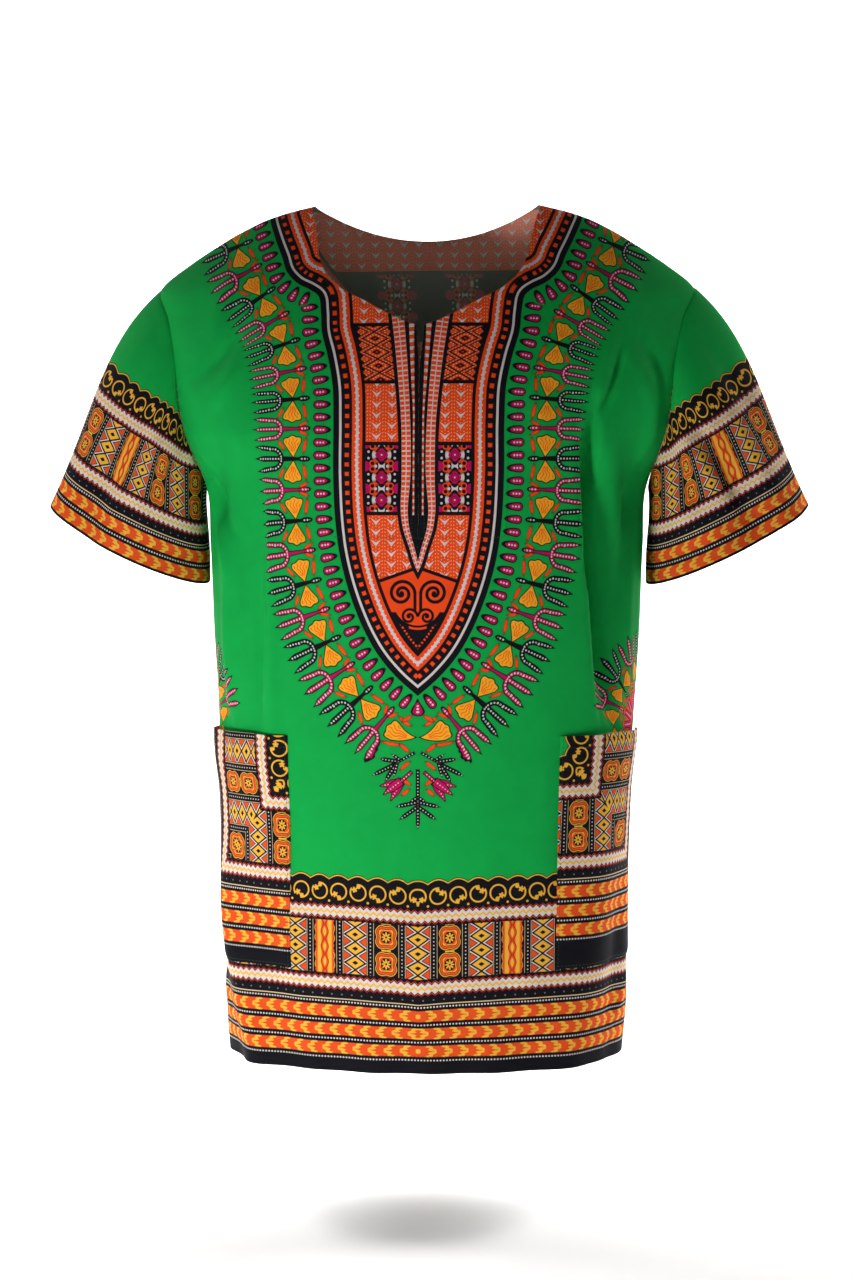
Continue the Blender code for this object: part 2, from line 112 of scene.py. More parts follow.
TUCKS = (
    (-0.50, -0.18, 0.172, 0.132, 0.0170, 0.012, 0.090),
    (-0.52, -0.22, -0.150, -0.134, 0.0090, 0.014, 0.100),
)
FOLD_FADE_START = 0.45
FOLD_END_SHARE = 0.90
TUCK_FULLNESS = 0.8
ARMHOLE_FRONT_SCOOP = 0.051
ARMHOLE_BACK_SCOOP = 0.048
ARMHOLE_FULLNESS = 0.55
NECK_HALF_WIDTH = 0.106
NECK_SHARE = 0.42
NECKLINE_COLUMNS = ("across", "height")
NECKLINE = (
    (0.000, -0.121),
    (0.0147, -0.116),
    (0.0310, -0.108),
    (0.0530, -0.0955),
    (0.0725, -0.0855),
    (0.0860, -0.0740),
    (0.0940, -0.0620),
    (0.1000, -0.0470),
    (0.1035, -0.0300),
    (0.1062, -0.0120),
    (0.1060, 0.0000),
)
SLIT_OPEN_TOP = 0.0035
SLIT_OPEN_LOW = 0.0005
SLIT_SPREAD = 0.040
POCKET_TOP = -0.4925
POCKET_BOTTOM = -0.7060
POCKET_INNER_RIGHT = 0.1215
POCKET_INNER_LEFT = 0.1310
POCKET_OUTER_MARGIN = 0.004
POCKET_GAPE = 0.0045
POCKET_GAPE_DEPTH = 0.060
POCKET_GAPE_FULLNESS = 0.8
POCKET_GAPE_START = 0.08
POCKET_PUFF = 0.0012
POCKET_PUFF_REACH = 0.006
CUFF_INNER = (0.2072, -0.3560)
CUFF_OUTER = (0.3590, -0.2810)
CUFF_HALF_DEPTH = 0.050
CUFF_SET_BACK = 0.004
CUFF_FRONT_DROP = 0.012
LEAVE_OUT = (0.08, 0.76)
LEAVE_FORWARD = 0.30
LEAVE_DOWN = (0.90, 0.64)
SLEEVE_FOLD_COLUMNS = ("side", "turn", "reach", "depth", "start")
SLEEVE_FOLDS = (
    (-1, 95, 22, 0.0060, 0.15),
    (-1, 60, 18, -0.0060, 0.10),
    (-1, 265, 26, -0.0060, 0.15),
    (1, 70, 20, -0.0070, 0.20),
    (1, 45, 16, 0.0050, 0.20),
    (1, 270, 26, -0.0060, 0.15),
)

# The fine cloth
SHEET = 0.0007
POCKET_LIFT = 0.0003
FRONT_COLUMNS = 86
BACK_COLUMNS = 70
SLEEVE_RINGS = 56
ARMHOLE_STEPS = 44
POCKET_COLUMNS = 56
POCKET_ROWS = 80
OUTLINE_SAMPLES = 120
SHOULDER_SAMPLES = 120
NECK_SAMPLES = 60
NORMAL_STEP = 0.002
SHARP_DEGREES = 50
SEAM_DIP = 0.0009
SEAM_REACH = 0.0035
SEAM_CLOSE = 0.5 * SEAM_GAP - 0.00005
ARMHOLE_CALM = 0.022
LEVEL_DIGITS = 6
TINY = 1e-12


def soft_step(value):
    value = np.clip(value, 0.0, 1.0)
    return value * value * (3.0 - 2.0 * value)


def between(low, high, part):
    """The value at a part of the way from low to high."""
    return low + (high - low) * part


def summed(steps):
    """The length at the start and after each step."""
    return np.concatenate([[0.0], np.cumsum(steps)])


def unit(directions):
    length = np.linalg.norm(directions, axis=-1, keepdims=True)
    return directions / np.maximum(length, TINY)


def level_groups(height):
    """The different heights, and which of them each place has."""
    return np.unique(np.round(height.reshape(-1), LEVEL_DIGITS), return_inverse=True)


def named_rows(table, names):
    """The table's rows with their values by column name."""
    return [dict(zip(names, row)) for row in table]


def column(table, names, name):
    return np.array([row[names.index(name)] for row in table], float)


def curve_shares(part):
    """What a smooth curve takes of its start, end, first slope and last slope at a part of the way."""
    start = (1 + 2 * part) * (1 - part) ** 2
    end = part**2 * (3 - 2 * part)
    leaving = part * (1 - part) ** 2
    meeting = part**2 * (part - 1)
    return start, end, leaving, meeting


def through(at, stations, values):
    """A smooth curve through the values at the rising stations, read at the places in at."""
    slopes = np.gradient(values, stations)
    index = np.clip(np.searchsorted(stations, at) - 1, 0, len(stations) - 2)
    span = stations[index + 1] - stations[index]
    part = np.clip((at - stations[index]) / span, 0.0, 1.0)
    start, end, leaving, meeting = curve_shares(part)
    return (
        start * values[index]
        + end * values[index + 1]
        + leaving * span * slopes[index]
        + meeting * span * slopes[index + 1]
    )


def outline_value(name, height):
    heights = column(OUTLINES, OUTLINE_COLUMNS, "height")
    return through(height, heights, column(OUTLINES, OUTLINE_COLUMNS, name))


def fold_push(panel, run, height):
    """How far the folds move the cloth outwards, at a signed run along the plain outline."""
    push = np.zeros(np.broadcast(run, height).shape)
    for fold in named_rows(FOLDS, FOLD_COLUMNS):
        if fold["panel"] != panel:
            continue
        low, high = fold["low"], fold["high"]
        along = np.clip((height - low) / (high - low), 0.0, 1.0)
        place = between(fold["low_place"], fold["high_place"], along)
        if low <= HEM:
            fade = 1.0 - soft_step((along - FOLD_FADE_START) / (1.0 - FOLD_FADE_START))
        else:
            fade = np.sin(np.pi * along) ** 2
        fade = np.where((height > high) | (height < low), 0.0, fade)
        push += fold["depth"] * fade * np.exp(-(((run - place) / fold["reach"]) ** 2))
    if panel == "front":
        for tuck in named_rows(TUCKS, TUCK_COLUMNS):
            along = np.clip((height - tuck["low"]) / (tuck["high"] - tuck["low"]), 0.0, 1.0)
            place = between(tuck["low_place"], tuck["high_place"], along)
            past = np.sign(tuck["low_place"]) * (run - place)
            drop = soft_step(past / tuck["step"])
            drop = drop * (1.0 - soft_step((past - tuck["step"]) / tuck["rise"]))
            push -= tuck["depth"] * np.sin(np.pi * along) ** TUCK_FULLNESS * drop
    return push


def row_lengths(across, out):
    """How far along its row's curve each point is."""
    step = np.hypot(np.diff(across, axis=1), np.diff(out, axis=1))
    return np.concatenate([np.zeros((len(across), 1)), np.cumsum(step, axis=1)], axis=1)


def level_curve(panel, side, height):
    """Points and runs of half of a level outline, from the centre line to the side, one row a height."""
    height = np.asarray(height, float).reshape(-1, 1)
    half_width = outline_value("half_width", height)
    depth = outline_value(panel + "_depth", height)
    power = 2.0 / outline_value("squareness", height)
    turn = 0.25 * np.pi * (1.0 - np.cos(np.linspace(0.0, np.pi, OUTLINE_SAMPLES)))
    across = half_width * np.sin(turn) ** power
    out = depth * np.abs(np.cos(turn)) ** power
    out[:, -1] = 0.0
    run = row_lengths(across, out)
    slope_across = np.gradient(across, axis=1)
    slope_out = np.gradient(out, axis=1)
    length = np.hypot(slope_across, slope_out)
    push = fold_push(panel, side * run, height)
    near_side = (run / run[:, -1:] - FOLD_END_SHARE) / (1.0 - FOLD_END_SHARE)
    push = push * (1.0 - soft_step(near_side))
    across = across - push * slope_out / length
    out = out + push * slope_across / length
    across[:, 0] = 0.0
    return across, out, row_lengths(across, out)


def read_rows(place, runs, values):
    """Each row's value at its own place along its rising runs."""
    index = np.clip((runs < place[:, None]).sum(axis=1) - 1, 0, runs.shape[1] - 2)
    rows = np.arange(len(place))
    low, high = runs[rows, index], runs[rows, index + 1]
    part = (place - low) / np.maximum(high - low, TINY)
    return values[rows, index] * (1.0 - part) + values[rows, index + 1] * part


def half_girth(panel, side, height):
    """The run from the centre line to the side seam."""
    return level_curve(panel, side, height)[2][:, -1]


def cloth_points(panel, run, height):
    """Where the outer face of a body panel is, at signed runs and heights."""
    run, height = np.broadcast_arrays(np.asarray(run, float), np.asarray(height, float))
    shape = run.shape
    run, height = run.reshape(-1), height.reshape(-1)
    points = np.zeros((len(run), 3))
    facing = -1.0 if panel == "front" else 1.0
    for side in (-1, 1):
        pick = run * side > 0 if side > 0 else run <= 0
        if not pick.any():
            continue
        levels, which = level_groups(height[pick])
        across, out, runs = level_curve(panel, side, levels)
        across, out, runs = across[which], out[which], runs[which]
        place = np.minimum(np.abs(run[pick]), runs[:, -1])
        points[pick, 0] = side * read_rows(place, runs, across)
        points[pick, 1] = facing * (read_rows(place, runs, out) + 0.5 * SEAM_GAP)
        points[pick, 2] = height[pick]
    return points.reshape(*shape, 3)


def cloth_normals(panel, run, height):
    """Outward directions of a body panel."""
    run_ahead = cloth_points(panel, run + NORMAL_STEP, height)
    run_behind = cloth_points(panel, run - NORMAL_STEP, height)
    above = cloth_points(panel, run, np.minimum(height + NORMAL_STEP, 0.0))
    below = cloth_points(panel, run, np.maximum(height - NORMAL_STEP, HEM))
    normal = np.cross(run_ahead - run_behind, above - below)
    if panel == "back":
        normal = -normal
    return unit(normal)


def armhole_run(panel, side, height):
    """The run from the centre line to the armhole's edge, for heights from the underarm to the tip."""
    scoop = ARMHOLE_FRONT_SCOOP if panel == "front" else ARMHOLE_BACK_SCOOP
    part = np.clip((height - UNDERARM) / (SHOULDER_TIP - UNDERARM), 0.0, 1.0)
    reach = scoop * np.sin(np.pi * part) ** ARMHOLE_FULLNESS
    _, out, runs = level_curve(panel, side, height)
    edge = [
        np.interp(-depth, -row_out, row_run) if depth > 1e-6 else row_run[-1]
        for depth, row_out, row_run in zip(reach, out, runs)
    ]
    return np.array(edge)


def shoulder_height(panel, side, run):
    """The height at which the shoulder seam has this run from the centre line."""
    heights = np.linspace(SHOULDER_TIP, 0.0, SHOULDER_SAMPLES)
    reach = half_girth(panel, side, heights)
    return np.interp(-run, -reach, heights)


def run_at_across(panel, side, across, height):
    """The run of points given by how far across they are."""
    curve_across, _, runs = level_curve(panel, side, height)
    return read_rows(across, curve_across, runs)


def neck_edge(panel, side, part):
    """Run and height of the neckline, from the centre at part 0 to the neck point at part 1."""
    if panel == "front":
        across = column(NECKLINE, NECKLINE_COLUMNS, "across")
        height = column(NECKLINE, NECKLINE_COLUMNS, "height")
    else:
        across = NECK_HALF_WIDTH * np.sin(np.linspace(0.0, 0.5 * np.pi, NECK_SAMPLES))
        height = BACK_NECK * (1.0 - (across / NECK_HALF_WIDTH) ** 2)
    run = run_at_across(panel, side, across, height)
    length = summed(np.hypot(np.diff(run), np.diff(height)))
    at = np.asarray(part) * length[-1]
    return np.interp(at, length, run), np.interp(at, length, height)


def slit_half_gap(height):
    """Half of the slit's opening at a height."""
    part = soft_step((height - (NOTCH - SLIT_SPREAD)) / SLIT_SPREAD)
    return between(SLIT_OPEN_LOW, SLIT_OPEN_TOP, part)


def row_levels(marks, counts):
    """Level heights from mark to mark, with a count of rows for each stretch."""
    levels = [np.array([marks[0]])]
    for low, high, count in zip(marks, marks[1:], counts):
        levels.append(np.linspace(low, high, count + 1)[1:])
    return np.concatenate(levels)


def panel_grid(panel, side, columns, low, upper_rows):
    """Runs and heights of one half of a body panel, rows from hem to top, columns from the centre out."""
    neck_column = round(columns * NECK_SHARE)
    neck_part = neck_column / columns
    parts = np.linspace(0.0, 1.0, columns + 1)
    girth = half_girth(panel, side, low)
    runs = [parts * reach for reach in girth]
    heights = [np.full(columns + 1, level) for level in low]
    tip_run = half_girth(panel, side, [SHOULDER_TIP])[0]
    neck_run, neck_height = neck_edge(panel, side, np.clip(parts / neck_part, 0.0, 1.0))
    shoulder_part = np.clip((parts - neck_part) / (1.0 - neck_part), 0.0, 1.0)
    neck_point_run = half_girth(panel, side, [0.0])[0]
    shoulder_run = between(neck_point_run, tip_run, shoulder_part)
    on_neck = parts <= neck_part + 1e-9
    top_run = np.where(on_neck, neck_run, shoulder_run)
    top_height = np.where(on_neck, neck_height, shoulder_height(panel, side, shoulder_run))
    for rise in np.linspace(0.0, 1.0, upper_rows + 1)[1:]:
        edge_height = between(UNDERARM, SHOULDER_TIP, rise)
        edge_run = armhole_run(panel, side, np.array([edge_height]))[0]
        runs.append(parts * edge_run + rise * (top_run - parts * tip_run))
        heights.append(between(UNDERARM, top_height, rise))
    return np.array(runs), np.array(heights)


def whole_panel(panel, columns, low, upper_rows):
    """Runs and heights of a whole panel from -X to +X, with the centre line in it twice."""
    right_run, right_height = panel_grid(panel, -1, columns, low, upper_rows)
    left_run, left_height = panel_grid(panel, 1, columns, low, upper_rows)
    run = np.concatenate([-right_run[:, ::-1], left_run], axis=1)
    height = np.concatenate([right_height[:, ::-1], left_height], axis=1)
    return run, height


def ring_directions(points):
    """Directions square to a grid whose rows are closed rings, from each point's neighbours."""
    around = np.roll(points, -1, axis=1) - np.roll(points, 1, axis=1)
    return unit(np.cross(around, np.gradient(points, axis=0)))


# Creases of the cloth beyond the solids' folds. Each runs between two places on a panel, bows to one
# side, fades to its ends, and is a ridge where its depth is positive.
CREASE_COLUMNS = ("panel", "run_a", "height_a", "run_b", "height_b", "bow", "depth", "reach")
CREASES = (
    ("front", -0.262, -0.210, -0.170, -0.330, 0.004, -0.0050, 0.008),
    ("front", -0.246, -0.250, -0.178, -0.372, 0.006, 0.0040, 0.009),
    ("front", -0.228, -0.175, -0.160, -0.112, 0.006, -0.0046, 0.008),
    ("front", -0.214, -0.205, -0.164, -0.135, 0.006, 0.0028, 0.009),
    ("front", -0.224, -0.235, -0.232, -0.345, -0.005, -0.0040, 0.010),
    ("front", -0.206, -0.300, -0.214, -0.520, -0.003, 0.0030, 0.010),
    ("front", -0.160, -0.340, -0.146, -0.520, 0.004, -0.0036, 0.008),
    ("front", -0.134, -0.370, -0.138, -0.560, 0.002, 0.0034, 0.010),
    ("front", -0.225, -0.400, -0.185, -0.560, 0.006, -0.0034, 0.011),
    ("front", -0.120, -0.560, -0.105, -0.795, 0.003, 0.0020, 0.012),
    ("front", -0.060, -0.600, -0.070, -0.795, -0.004, -0.0018, 0.012),
    ("front", 0.012, -0.640, 0.004, -0.795, 0.002, 0.0020, 0.013),
    ("front", 0.078, -0.585, 0.090, -0.795, 0.004, -0.0020, 0.012),
    ("front", 0.120, -0.470, 0.116, -0.700, 0.004, 0.0018, 0.012),
    ("front", 0.180, -0.110, 0.143, -0.232, -0.006, 0.0034, 0.006),
    ("front", 0.192, -0.112, 0.153, -0.240, -0.006, -0.0056, 0.0055),
    ("front", 0.144, -0.165, 0.150, -0.360, -0.003, 0.0040, 0.006),
    ("front", 0.157, -0.160, 0.166, -0.365, -0.003, -0.0100, 0.0075),
    ("front", 0.152, -0.275, 0.192, -0.500, 0.004, 0.0036, 0.006),
    ("front", 0.166, -0.275, 0.206, -0.515, 0.004, -0.0105, 0.0085),
    ("front", 0.176, -0.125, 0.242, -0.262, -0.014, 0.0030, 0.009),
    ("front", 0.196, -0.120, 0.256, -0.240, -0.012, -0.0048, 0.009),
    ("front", 0.248, -0.215, 0.220, -0.380, 0.008, -0.0054, 0.012),
    ("front", 0.232, -0.300, 0.236, -0.470, 0.006, 0.0026, 0.010),
    ("front", -0.090, -0.180, -0.112, -0.290, 0.004, 0.0012, 0.010),
    ("front", 0.096, -0.150, 0.112, -0.250, -0.004, 0.0014, 0.010),
    ("front", -0.170, -0.050, -0.200, -0.140, 0.004, 0.0022, 0.009),
    ("front", 0.176, -0.042, 0.206, -0.128, -0.005, 0.0024, 0.009),
    ("front", -0.252, -0.715, -0.176, -0.790, 0.006, 0.0028, 0.008),
    ("front", -0.240, -0.740, -0.150, -0.796, 0.004, -0.0022, 0.008),
    ("front", 0.250, -0.705, 0.180, -0.792, -0.006, 0.0024, 0.008),
    ("back", -0.240, -0.205, -0.150, -0.345, 0.008, 0.0028, 0.010),
    ("back", 0.244, -0.200, 0.158, -0.352, -0.008, 0.0030, 0.010),
    ("back", -0.118, -0.090, -0.155, -0.240, 0.006, -0.0022, 0.011),
    ("back", 0.124, -0.096, 0.150, -0.228, -0.006, -0.0020, 0.011),
    ("back", -0.030, -0.140, -0.046, -0.380, 0.006, 0.0020, 0.014),
    ("back", 0.040, -0.160, 0.030, -0.420, -0.006, 0.0018, 0.014),
    ("back", -0.130, -0.420, -0.118, -0.720, 0.006, -0.0024, 0.014),
    ("back", 0.132, -0.450, 0.124, -0.740, -0.006, -0.0024, 0.014),
    ("back", -0.060, -0.520, -0.050, -0.790, 0.004, 0.0022, 0.014),
    ("back", 0.066, -0.560, 0.058, -0.795, -0.004, 0.0020, 0.014),
    ("back", -0.218, -0.340, -0.196, -0.560, 0.006, 0.0026, 0.012),
    ("back", 0.214, -0.360, 0.200, -0.540, -0.006, 0.0026, 0.012),
)
RIPPLE_COLUMNS = ("along_run", "along_height", "phase", "depth")
RIPPLES = (
    (21.0, 6.0, 0.4, 0.00045),
    (-33.0, 11.0, 1.9, 0.00030),
    (47.0, 17.0, 3.1, 0.00022),
    (12.0, -23.0, 5.2, 0.00030),
)
HEM_WAVE_PITCH = 0.074
HEM_WAVE_DEPTH = 0.0014
HEM_WAVE_RISE = 0.060
HEM_SWAY = 3.0
HEM_SWAY_TURN = 9.0
CREASE_FADE = 1.4
CREASE_NARROW = 0.75
CREASE_WIDE = 1.25


def crease_depth(panel, run, height):
    """How far the small creases and ripples move the cloth outwards."""
    push = np.zeros(run.shape)
    for crease in named_rows(CREASES, CREASE_COLUMNS):
        if crease["panel"] != panel:
            continue
        step_run = crease["run_b"] - crease["run_a"]
        step_height = crease["height_b"] - crease["height_a"]
        length = np.hypot(step_run, step_height)
        past_run, past_height = run - crease["run_a"], height - crease["height_a"]
        along = (past_run * step_run + past_height * step_height) / length**2
        off = (past_run * step_height - past_height * step_run) / length
        along = np.clip(along, 0.0, 1.0)
        off = off - crease["bow"] * np.sin(np.pi * along)
        fade = np.sin(np.pi * along) ** CREASE_FADE
        width = crease["reach"] * between(CREASE_NARROW, CREASE_WIDE, along)
        push += crease["depth"] * fade * np.exp(-((off / width) ** 2))
    for ripple in named_rows(RIPPLES, RIPPLE_COLUMNS):
        turn = ripple["along_run"] * run + ripple["along_height"] * height + ripple["phase"]
        push += ripple["depth"] * np.sin(turn)
    sway = HEM_SWAY * np.sin(HEM_SWAY_TURN * run)
    wave = np.sin(2.0 * np.pi * run / HEM_WAVE_PITCH + sway)
    push += HEM_WAVE_DEPTH * wave * (1.0 - soft_step((height - HEM) / HEM_WAVE_RISE))
    return push


def side_share(panel, run, height):
    """The run as a share of the way to the side seam, and the distance that is left to it."""
    levels, which = level_groups(height)
    girth = np.where(
        run.reshape(-1) > 0,
        half_girth(panel, 1, levels)[which],
        half_girth(panel, -1, levels)[which],
    ).reshape(run.shape)
    return np.abs(run) / girth, girth - np.abs(run)


def armhole_left(panel, run, height):
    """The distance left to the armhole's edge, and much more below the underarm."""
    levels, which = level_groups(height)
    inside = np.clip(levels, UNDERARM, SHOULDER_TIP)
    edges = [armhole_run(panel, side, inside)[which].reshape(run.shape) for side in (-1, 1)]
    left = np.where(run > 0, edges[1], edges[0]) - np.abs(run)
    return np.where(height < UNDERARM, 1.0, np.maximum(left, 0.0))


def body_sheet(panel, run, height):
    """Outer face and outward directions of a panel with its creases and with its seams drawn in."""
    points = cloth_points(panel, run, height)
    normals = cloth_normals(panel, run, height)
    share, left = side_share(panel, run, height)
    calm = 1.0 - soft_step((share - FOLD_END_SHARE) / (1.0 - FOLD_END_SHARE))
    calm = calm * soft_step(armhole_left(panel, run, height) / ARMHOLE_CALM)
    push = crease_depth(panel, run, height) * calm
    near = 1.0 - soft_step(left / SEAM_REACH)
    push -= SEAM_DIP * near
    points[..., 1] -= (-1.0 if panel == "front" else 1.0) * SEAM_CLOSE * near
    return points + push[..., None] * normals, normals


def map_coordinates(mesh, name, values):
    """Stores two values a point as one of the piece's UV maps."""
    layer = mesh.uv_layers.new(name=name)
    corner_points = np.empty(len(mesh.loops), np.int32)
    mesh.loops.foreach_get("vertex_index", corner_points)
    layer.data.foreach_set("uv", np.asarray(values, np.float32)[corner_points].reshape(-1))


def sheet_faces(rows, columns):
    """Four-sided faces of a grid whose points are numbered row by row."""
    low = np.arange(rows - 1)[:, None] * columns + np.arange(columns - 1)[None, :]
    return np.stack([low, low + 1, low + columns + 1, low + columns], axis=-1).reshape(-1, 4)


def rim_edges(faces):
    """Edges that only one face has, in that face's direction."""
    starts = faces.reshape(-1)
    ends = np.roll(faces, -1, axis=1).reshape(-1)
    known = set(zip(starts.tolist(), ends.tolist()))
    return np.array([edge for edge in known if (edge[1], edge[0]) not in known])


def placed(name, data):
    """A new object in the scene that holds this mesh, lamp or camera."""
    item = bpy.data.objects.new(name, data)
    bpy.context.scene.collection.objects.link(item)
    return item


def cloth_piece(name, outer, inner, faces, maps, materials, region):
    """A closed sheet between two faces of cloth. Each print material is followed by its own reverse."""
    count = len(outer)
    rim = rim_edges(faces)
    back_faces = faces[:, [0, 3, 2, 1]] + count
    walls = np.stack([rim[:, 1], rim[:, 0], rim[:, 0] + count, rim[:, 1] + count], axis=1)
    every = np.concatenate([faces, back_faces, walls])
    mesh = bpy.data.meshes.new(name)
    mesh.from_pydata(np.concatenate([outer, inner]), [], every.tolist())
    for material in materials:
        mesh.materials.append(material)
    rim_region = np.zeros(len(walls), int)
    owner = {}
    for number, face in enumerate(faces.tolist()):
        for start, end in zip(face, face[1:] + face[:1]):
            owner[(start, end)] = number
    for place, (start, end) in enumerate(rim.tolist()):
        rim_region[place] = region[owner[(start, end)]]
    slots = np.concatenate([2 * region, 2 * region + 1, 2 * rim_region]).astype(np.int32)
    mesh.polygons.foreach_set("material_index", slots)
    for map_name, values in maps.items():
        map_coordinates(mesh, map_name, np.concatenate([values, values]))
    mesh.validate()
    mesh.shade_smooth()
    mesh.set_sharp_from_angle(angle=np.radians(SHARP_DEGREES))
    return placed(name, mesh)


# The printed neck ornament: half of its outline from its tip up to the shoulder, and half of the
# narrow tongue round the slit
ORNAMENT_COLUMNS = ("across", "height")
FRONT_ORNAMENT = (
    (0.0000, -0.4550),
    (0.0185, -0.4387),
    (0.0360, -0.4180),
    (0.0480, -0.3973),
    (0.0570, -0.3766),
    (0.0650, -0.3532),
    (0.0717, -0.3253),
    (0.0752, -0.2983),
    (0.0772, -0.2605),
    (0.0774, -0.2047),
    (0.0785, -0.1768),
    (0.0840, -0.1480),
    (0.0905, -0.1240),
    (0.0920, -0.1060),
    (0.0955, -0.0905),
    (0.1020, -0.0858),
    (0.1150, -0.0790),
    (0.1265, -0.0670),
    (0.1320, -0.0530),
    (0.1380, -0.0400),
    (0.1440, -0.0260),
    (0.1500, -0.0120),
    (0.1550, 0.0010),
)
BACK_ORNAMENT = (
    (0.0000, -0.2850),
    (0.0185, -0.2687),
    (0.0360, -0.2480),
    (0.0480, -0.2273),
    (0.0600, -0.2066),
    (0.0720, -0.1780),
    (0.0830, -0.1480),
    (0.0920, -0.1180),
    (0.1010, -0.0920),
    (0.1150, -0.0750),
    (0.1290, -0.0560),
    (0.1380, -0.0400),
    (0.1440, -0.0260),
    (0.1500, -0.0120),
    (0.1550, 0.0010),
)
FLOWER_RING = FRONT_ORNAMENT[:10] + (
    (0.0790, -0.1768),
    (0.0850, -0.1420),
    (0.0960, -0.1090),
    (0.1120, -0.0800),
    (0.1300, -0.0530),
    (0.1430, -0.0280),
    (0.1520, 0.0000),
)
TONGUE = (
    (0.0000, -0.3507),
    (0.0054, -0.3400),
    (0.0109, -0.3228),
    (0.0165, -0.3057),
    (0.0186, -0.2922),
    (0.0182, -0.2608),
    (0.0190, -0.2068),
    (0.0222, -0.1700),
    (0.0275, -0.1260),
    (0.0320, -0.0960),
)
BACK_SHIFT = 0.170
PATH_SAMPLES = 220
TIP_ARC_SAMPLES = 14
DROPS_OFF = 0.009
FLOWERS_OFF = 0.025
FIELD_EDGE = -0.0024
BORDER_TOP = 0.187
BODY_START = 1.0
BORDER_DIP = 0.0055
BORDER_DIP_REACH = 0.055
BORDER_DIP_RISE = 0.080
ROSETTE_HEIGHT = -0.487
ROSETTE_REACH = 0.098
ROSETTE_RADIUS = 0.070
ROSETTE_INSET = 0.012
ROSETTE_IN = 0.018
FAR_AWAY = 0.9


def smooth_path(table, names):
    """A fine path through the table's points, evenly spaced along it."""
    places = np.stack([column(table, names, name) for name in names], axis=1)
    length = summed(np.hypot(*np.diff(places, axis=0).T))
    at = np.linspace(0.0, length[-1], PATH_SAMPLES)
    return np.stack([through(at, length, places[:, 0]), through(at, length, places[:, 1])], axis=1)


def path_outward(path):
    """Directions square to a path that rises to the right, to its outer side."""
    ahead = np.gradient(path, axis=0)
    return unit(np.stack([ahead[:, 1], -ahead[:, 0]], axis=1))


def ring_path(path, off):
    """The path moved outwards, with a round arc to the centre line below its tip."""
    outward = path_outward(path)
    first = np.arctan2(outward[0, 0], -outward[0, 1])
    turns = np.linspace(0.0, first, TIP_ARC_SAMPLES)[:-1]
    arc = path[0] + off * np.stack([np.sin(turns), -np.cos(turns)], axis=1)
    return np.concatenate([arc, path + off * outward])


def path_coordinates(path, run, height):
    """How far along a path the nearest place is, and how far off it, positive on its outer side."""
    places = np.stack([np.abs(run).reshape(-1), height.reshape(-1)], axis=1)
    start, step = path[:-1], np.diff(path, axis=0)
    length = np.hypot(*step.T)
    begin = summed(length[:-1])
    best = np.full(len(places), np.inf)
    along = np.zeros(len(places))
    off = np.zeros(len(places))
    for number in range(len(start)):
        away = places - start[number]
        share = (away @ step[number]) / length[number] ** 2
        last = number == len(start) - 1
        share = np.clip(share, 0.0, None if last else 1.0)
        gap = away - share[:, None] * step[number]
        distance = np.hypot(*gap.T)
        nearer = distance < best
        side = np.sign(away[:, 0] * step[number, 1] - away[:, 1] * step[number, 0])
        best = np.where(nearer, distance, best)
        along = np.where(nearer, begin[number] + share * length[number], along)
        off = np.where(nearer, side * distance, off)
    return np.stack([along, off], axis=1)


def body_maps(panel, run, height):
    """Map coordinates of a body panel's print, one pair a point."""
    ornament = smooth_path(FRONT_ORNAMENT if panel == "front" else BACK_ORNAMENT, ORNAMENT_COLUMNS)
    shield = path_coordinates(ornament, run, height)
    shield[:, 1] *= -1.0
    drops = path_coordinates(ring_path(ornament, DROPS_OFF), run, height)
    ring = smooth_path(FLOWER_RING, ORNAMENT_COLUMNS) if panel == "front" else ornament
    flowers = path_coordinates(ring_path(ring, FLOWERS_OFF), run, height)
    flowers[:, 1] += FLOWERS_OFF
    drops[:, 1] += DROPS_OFF
    _, left = side_share(panel, run, height)
    forward = ROSETTE_IN if panel == "front" else 0.0
    left = left.reshape(-1) - np.where(run.reshape(-1) > 0.0, forward, 0.0)
    level = height.reshape(-1) - ROSETTE_HEIGHT
    aside, up = np.abs(run).reshape(-1), height.reshape(-1)
    radius = np.hypot(left, level)
    rosette = np.stack([np.arctan2(level, left) * ROSETTE_RADIUS, radius - ROSETTE_INSET], axis=1)
    near_side = radius < ROSETTE_REACH
    plain = np.stack([aside, up if panel == "front" else up - BACK_SHIFT], axis=1)
    dip = BORDER_DIP * np.exp(-aside / BORDER_DIP_REACH) * soft_step((up - HEM) / BORDER_DIP_RISE)
    border = np.stack([BODY_START + aside, up - HEM + dip], axis=1)
    tongue = path_coordinates(smooth_path(TONGUE, ORNAMENT_COLUMNS), run, height)
    tongue[:, 1] *= -1.0
    if panel == "back":
        tongue[:, 1] = -FAR_AWAY
    return {
        "border": border,
        "plain": plain,
        "shield": shield,
        "tongue": tongue,
        "drops": drops,
        "flowers": flowers,
        "rosette": rosette,
    }, near_side


# Which print a face has
BORDER, ORNAMENT, FIELD = 0, 1, 2
HEIGHT_SLACK = 1e-6


def body_region(maps, faces, height):
    """The print of each face of a body panel."""
    middle = maps["shield"][faces].mean(axis=1)
    low = height.reshape(-1)[faces].max(axis=1) <= HEM + BORDER_TOP + HEIGHT_SLACK
    region = np.where(middle[:, 1] > -FIELD_EDGE, ORNAMENT, FIELD)
    return np.where(low, BORDER, region)


# Rows of the body panels between their marks and above the underarm, and the maps that they carry
BODY_MARKS = (HEM, HEM + BORDER_TOP, SLIT_END, UNDERARM)
FRONT_COUNTS = (62, 108, 20)
FRONT_UPPER = 70
BACK_COUNTS = (52, 84, 14)
BACK_UPPER = 52
BODY_MAPS = ("border", "plain", "shield", "tongue", "drops", "flowers")


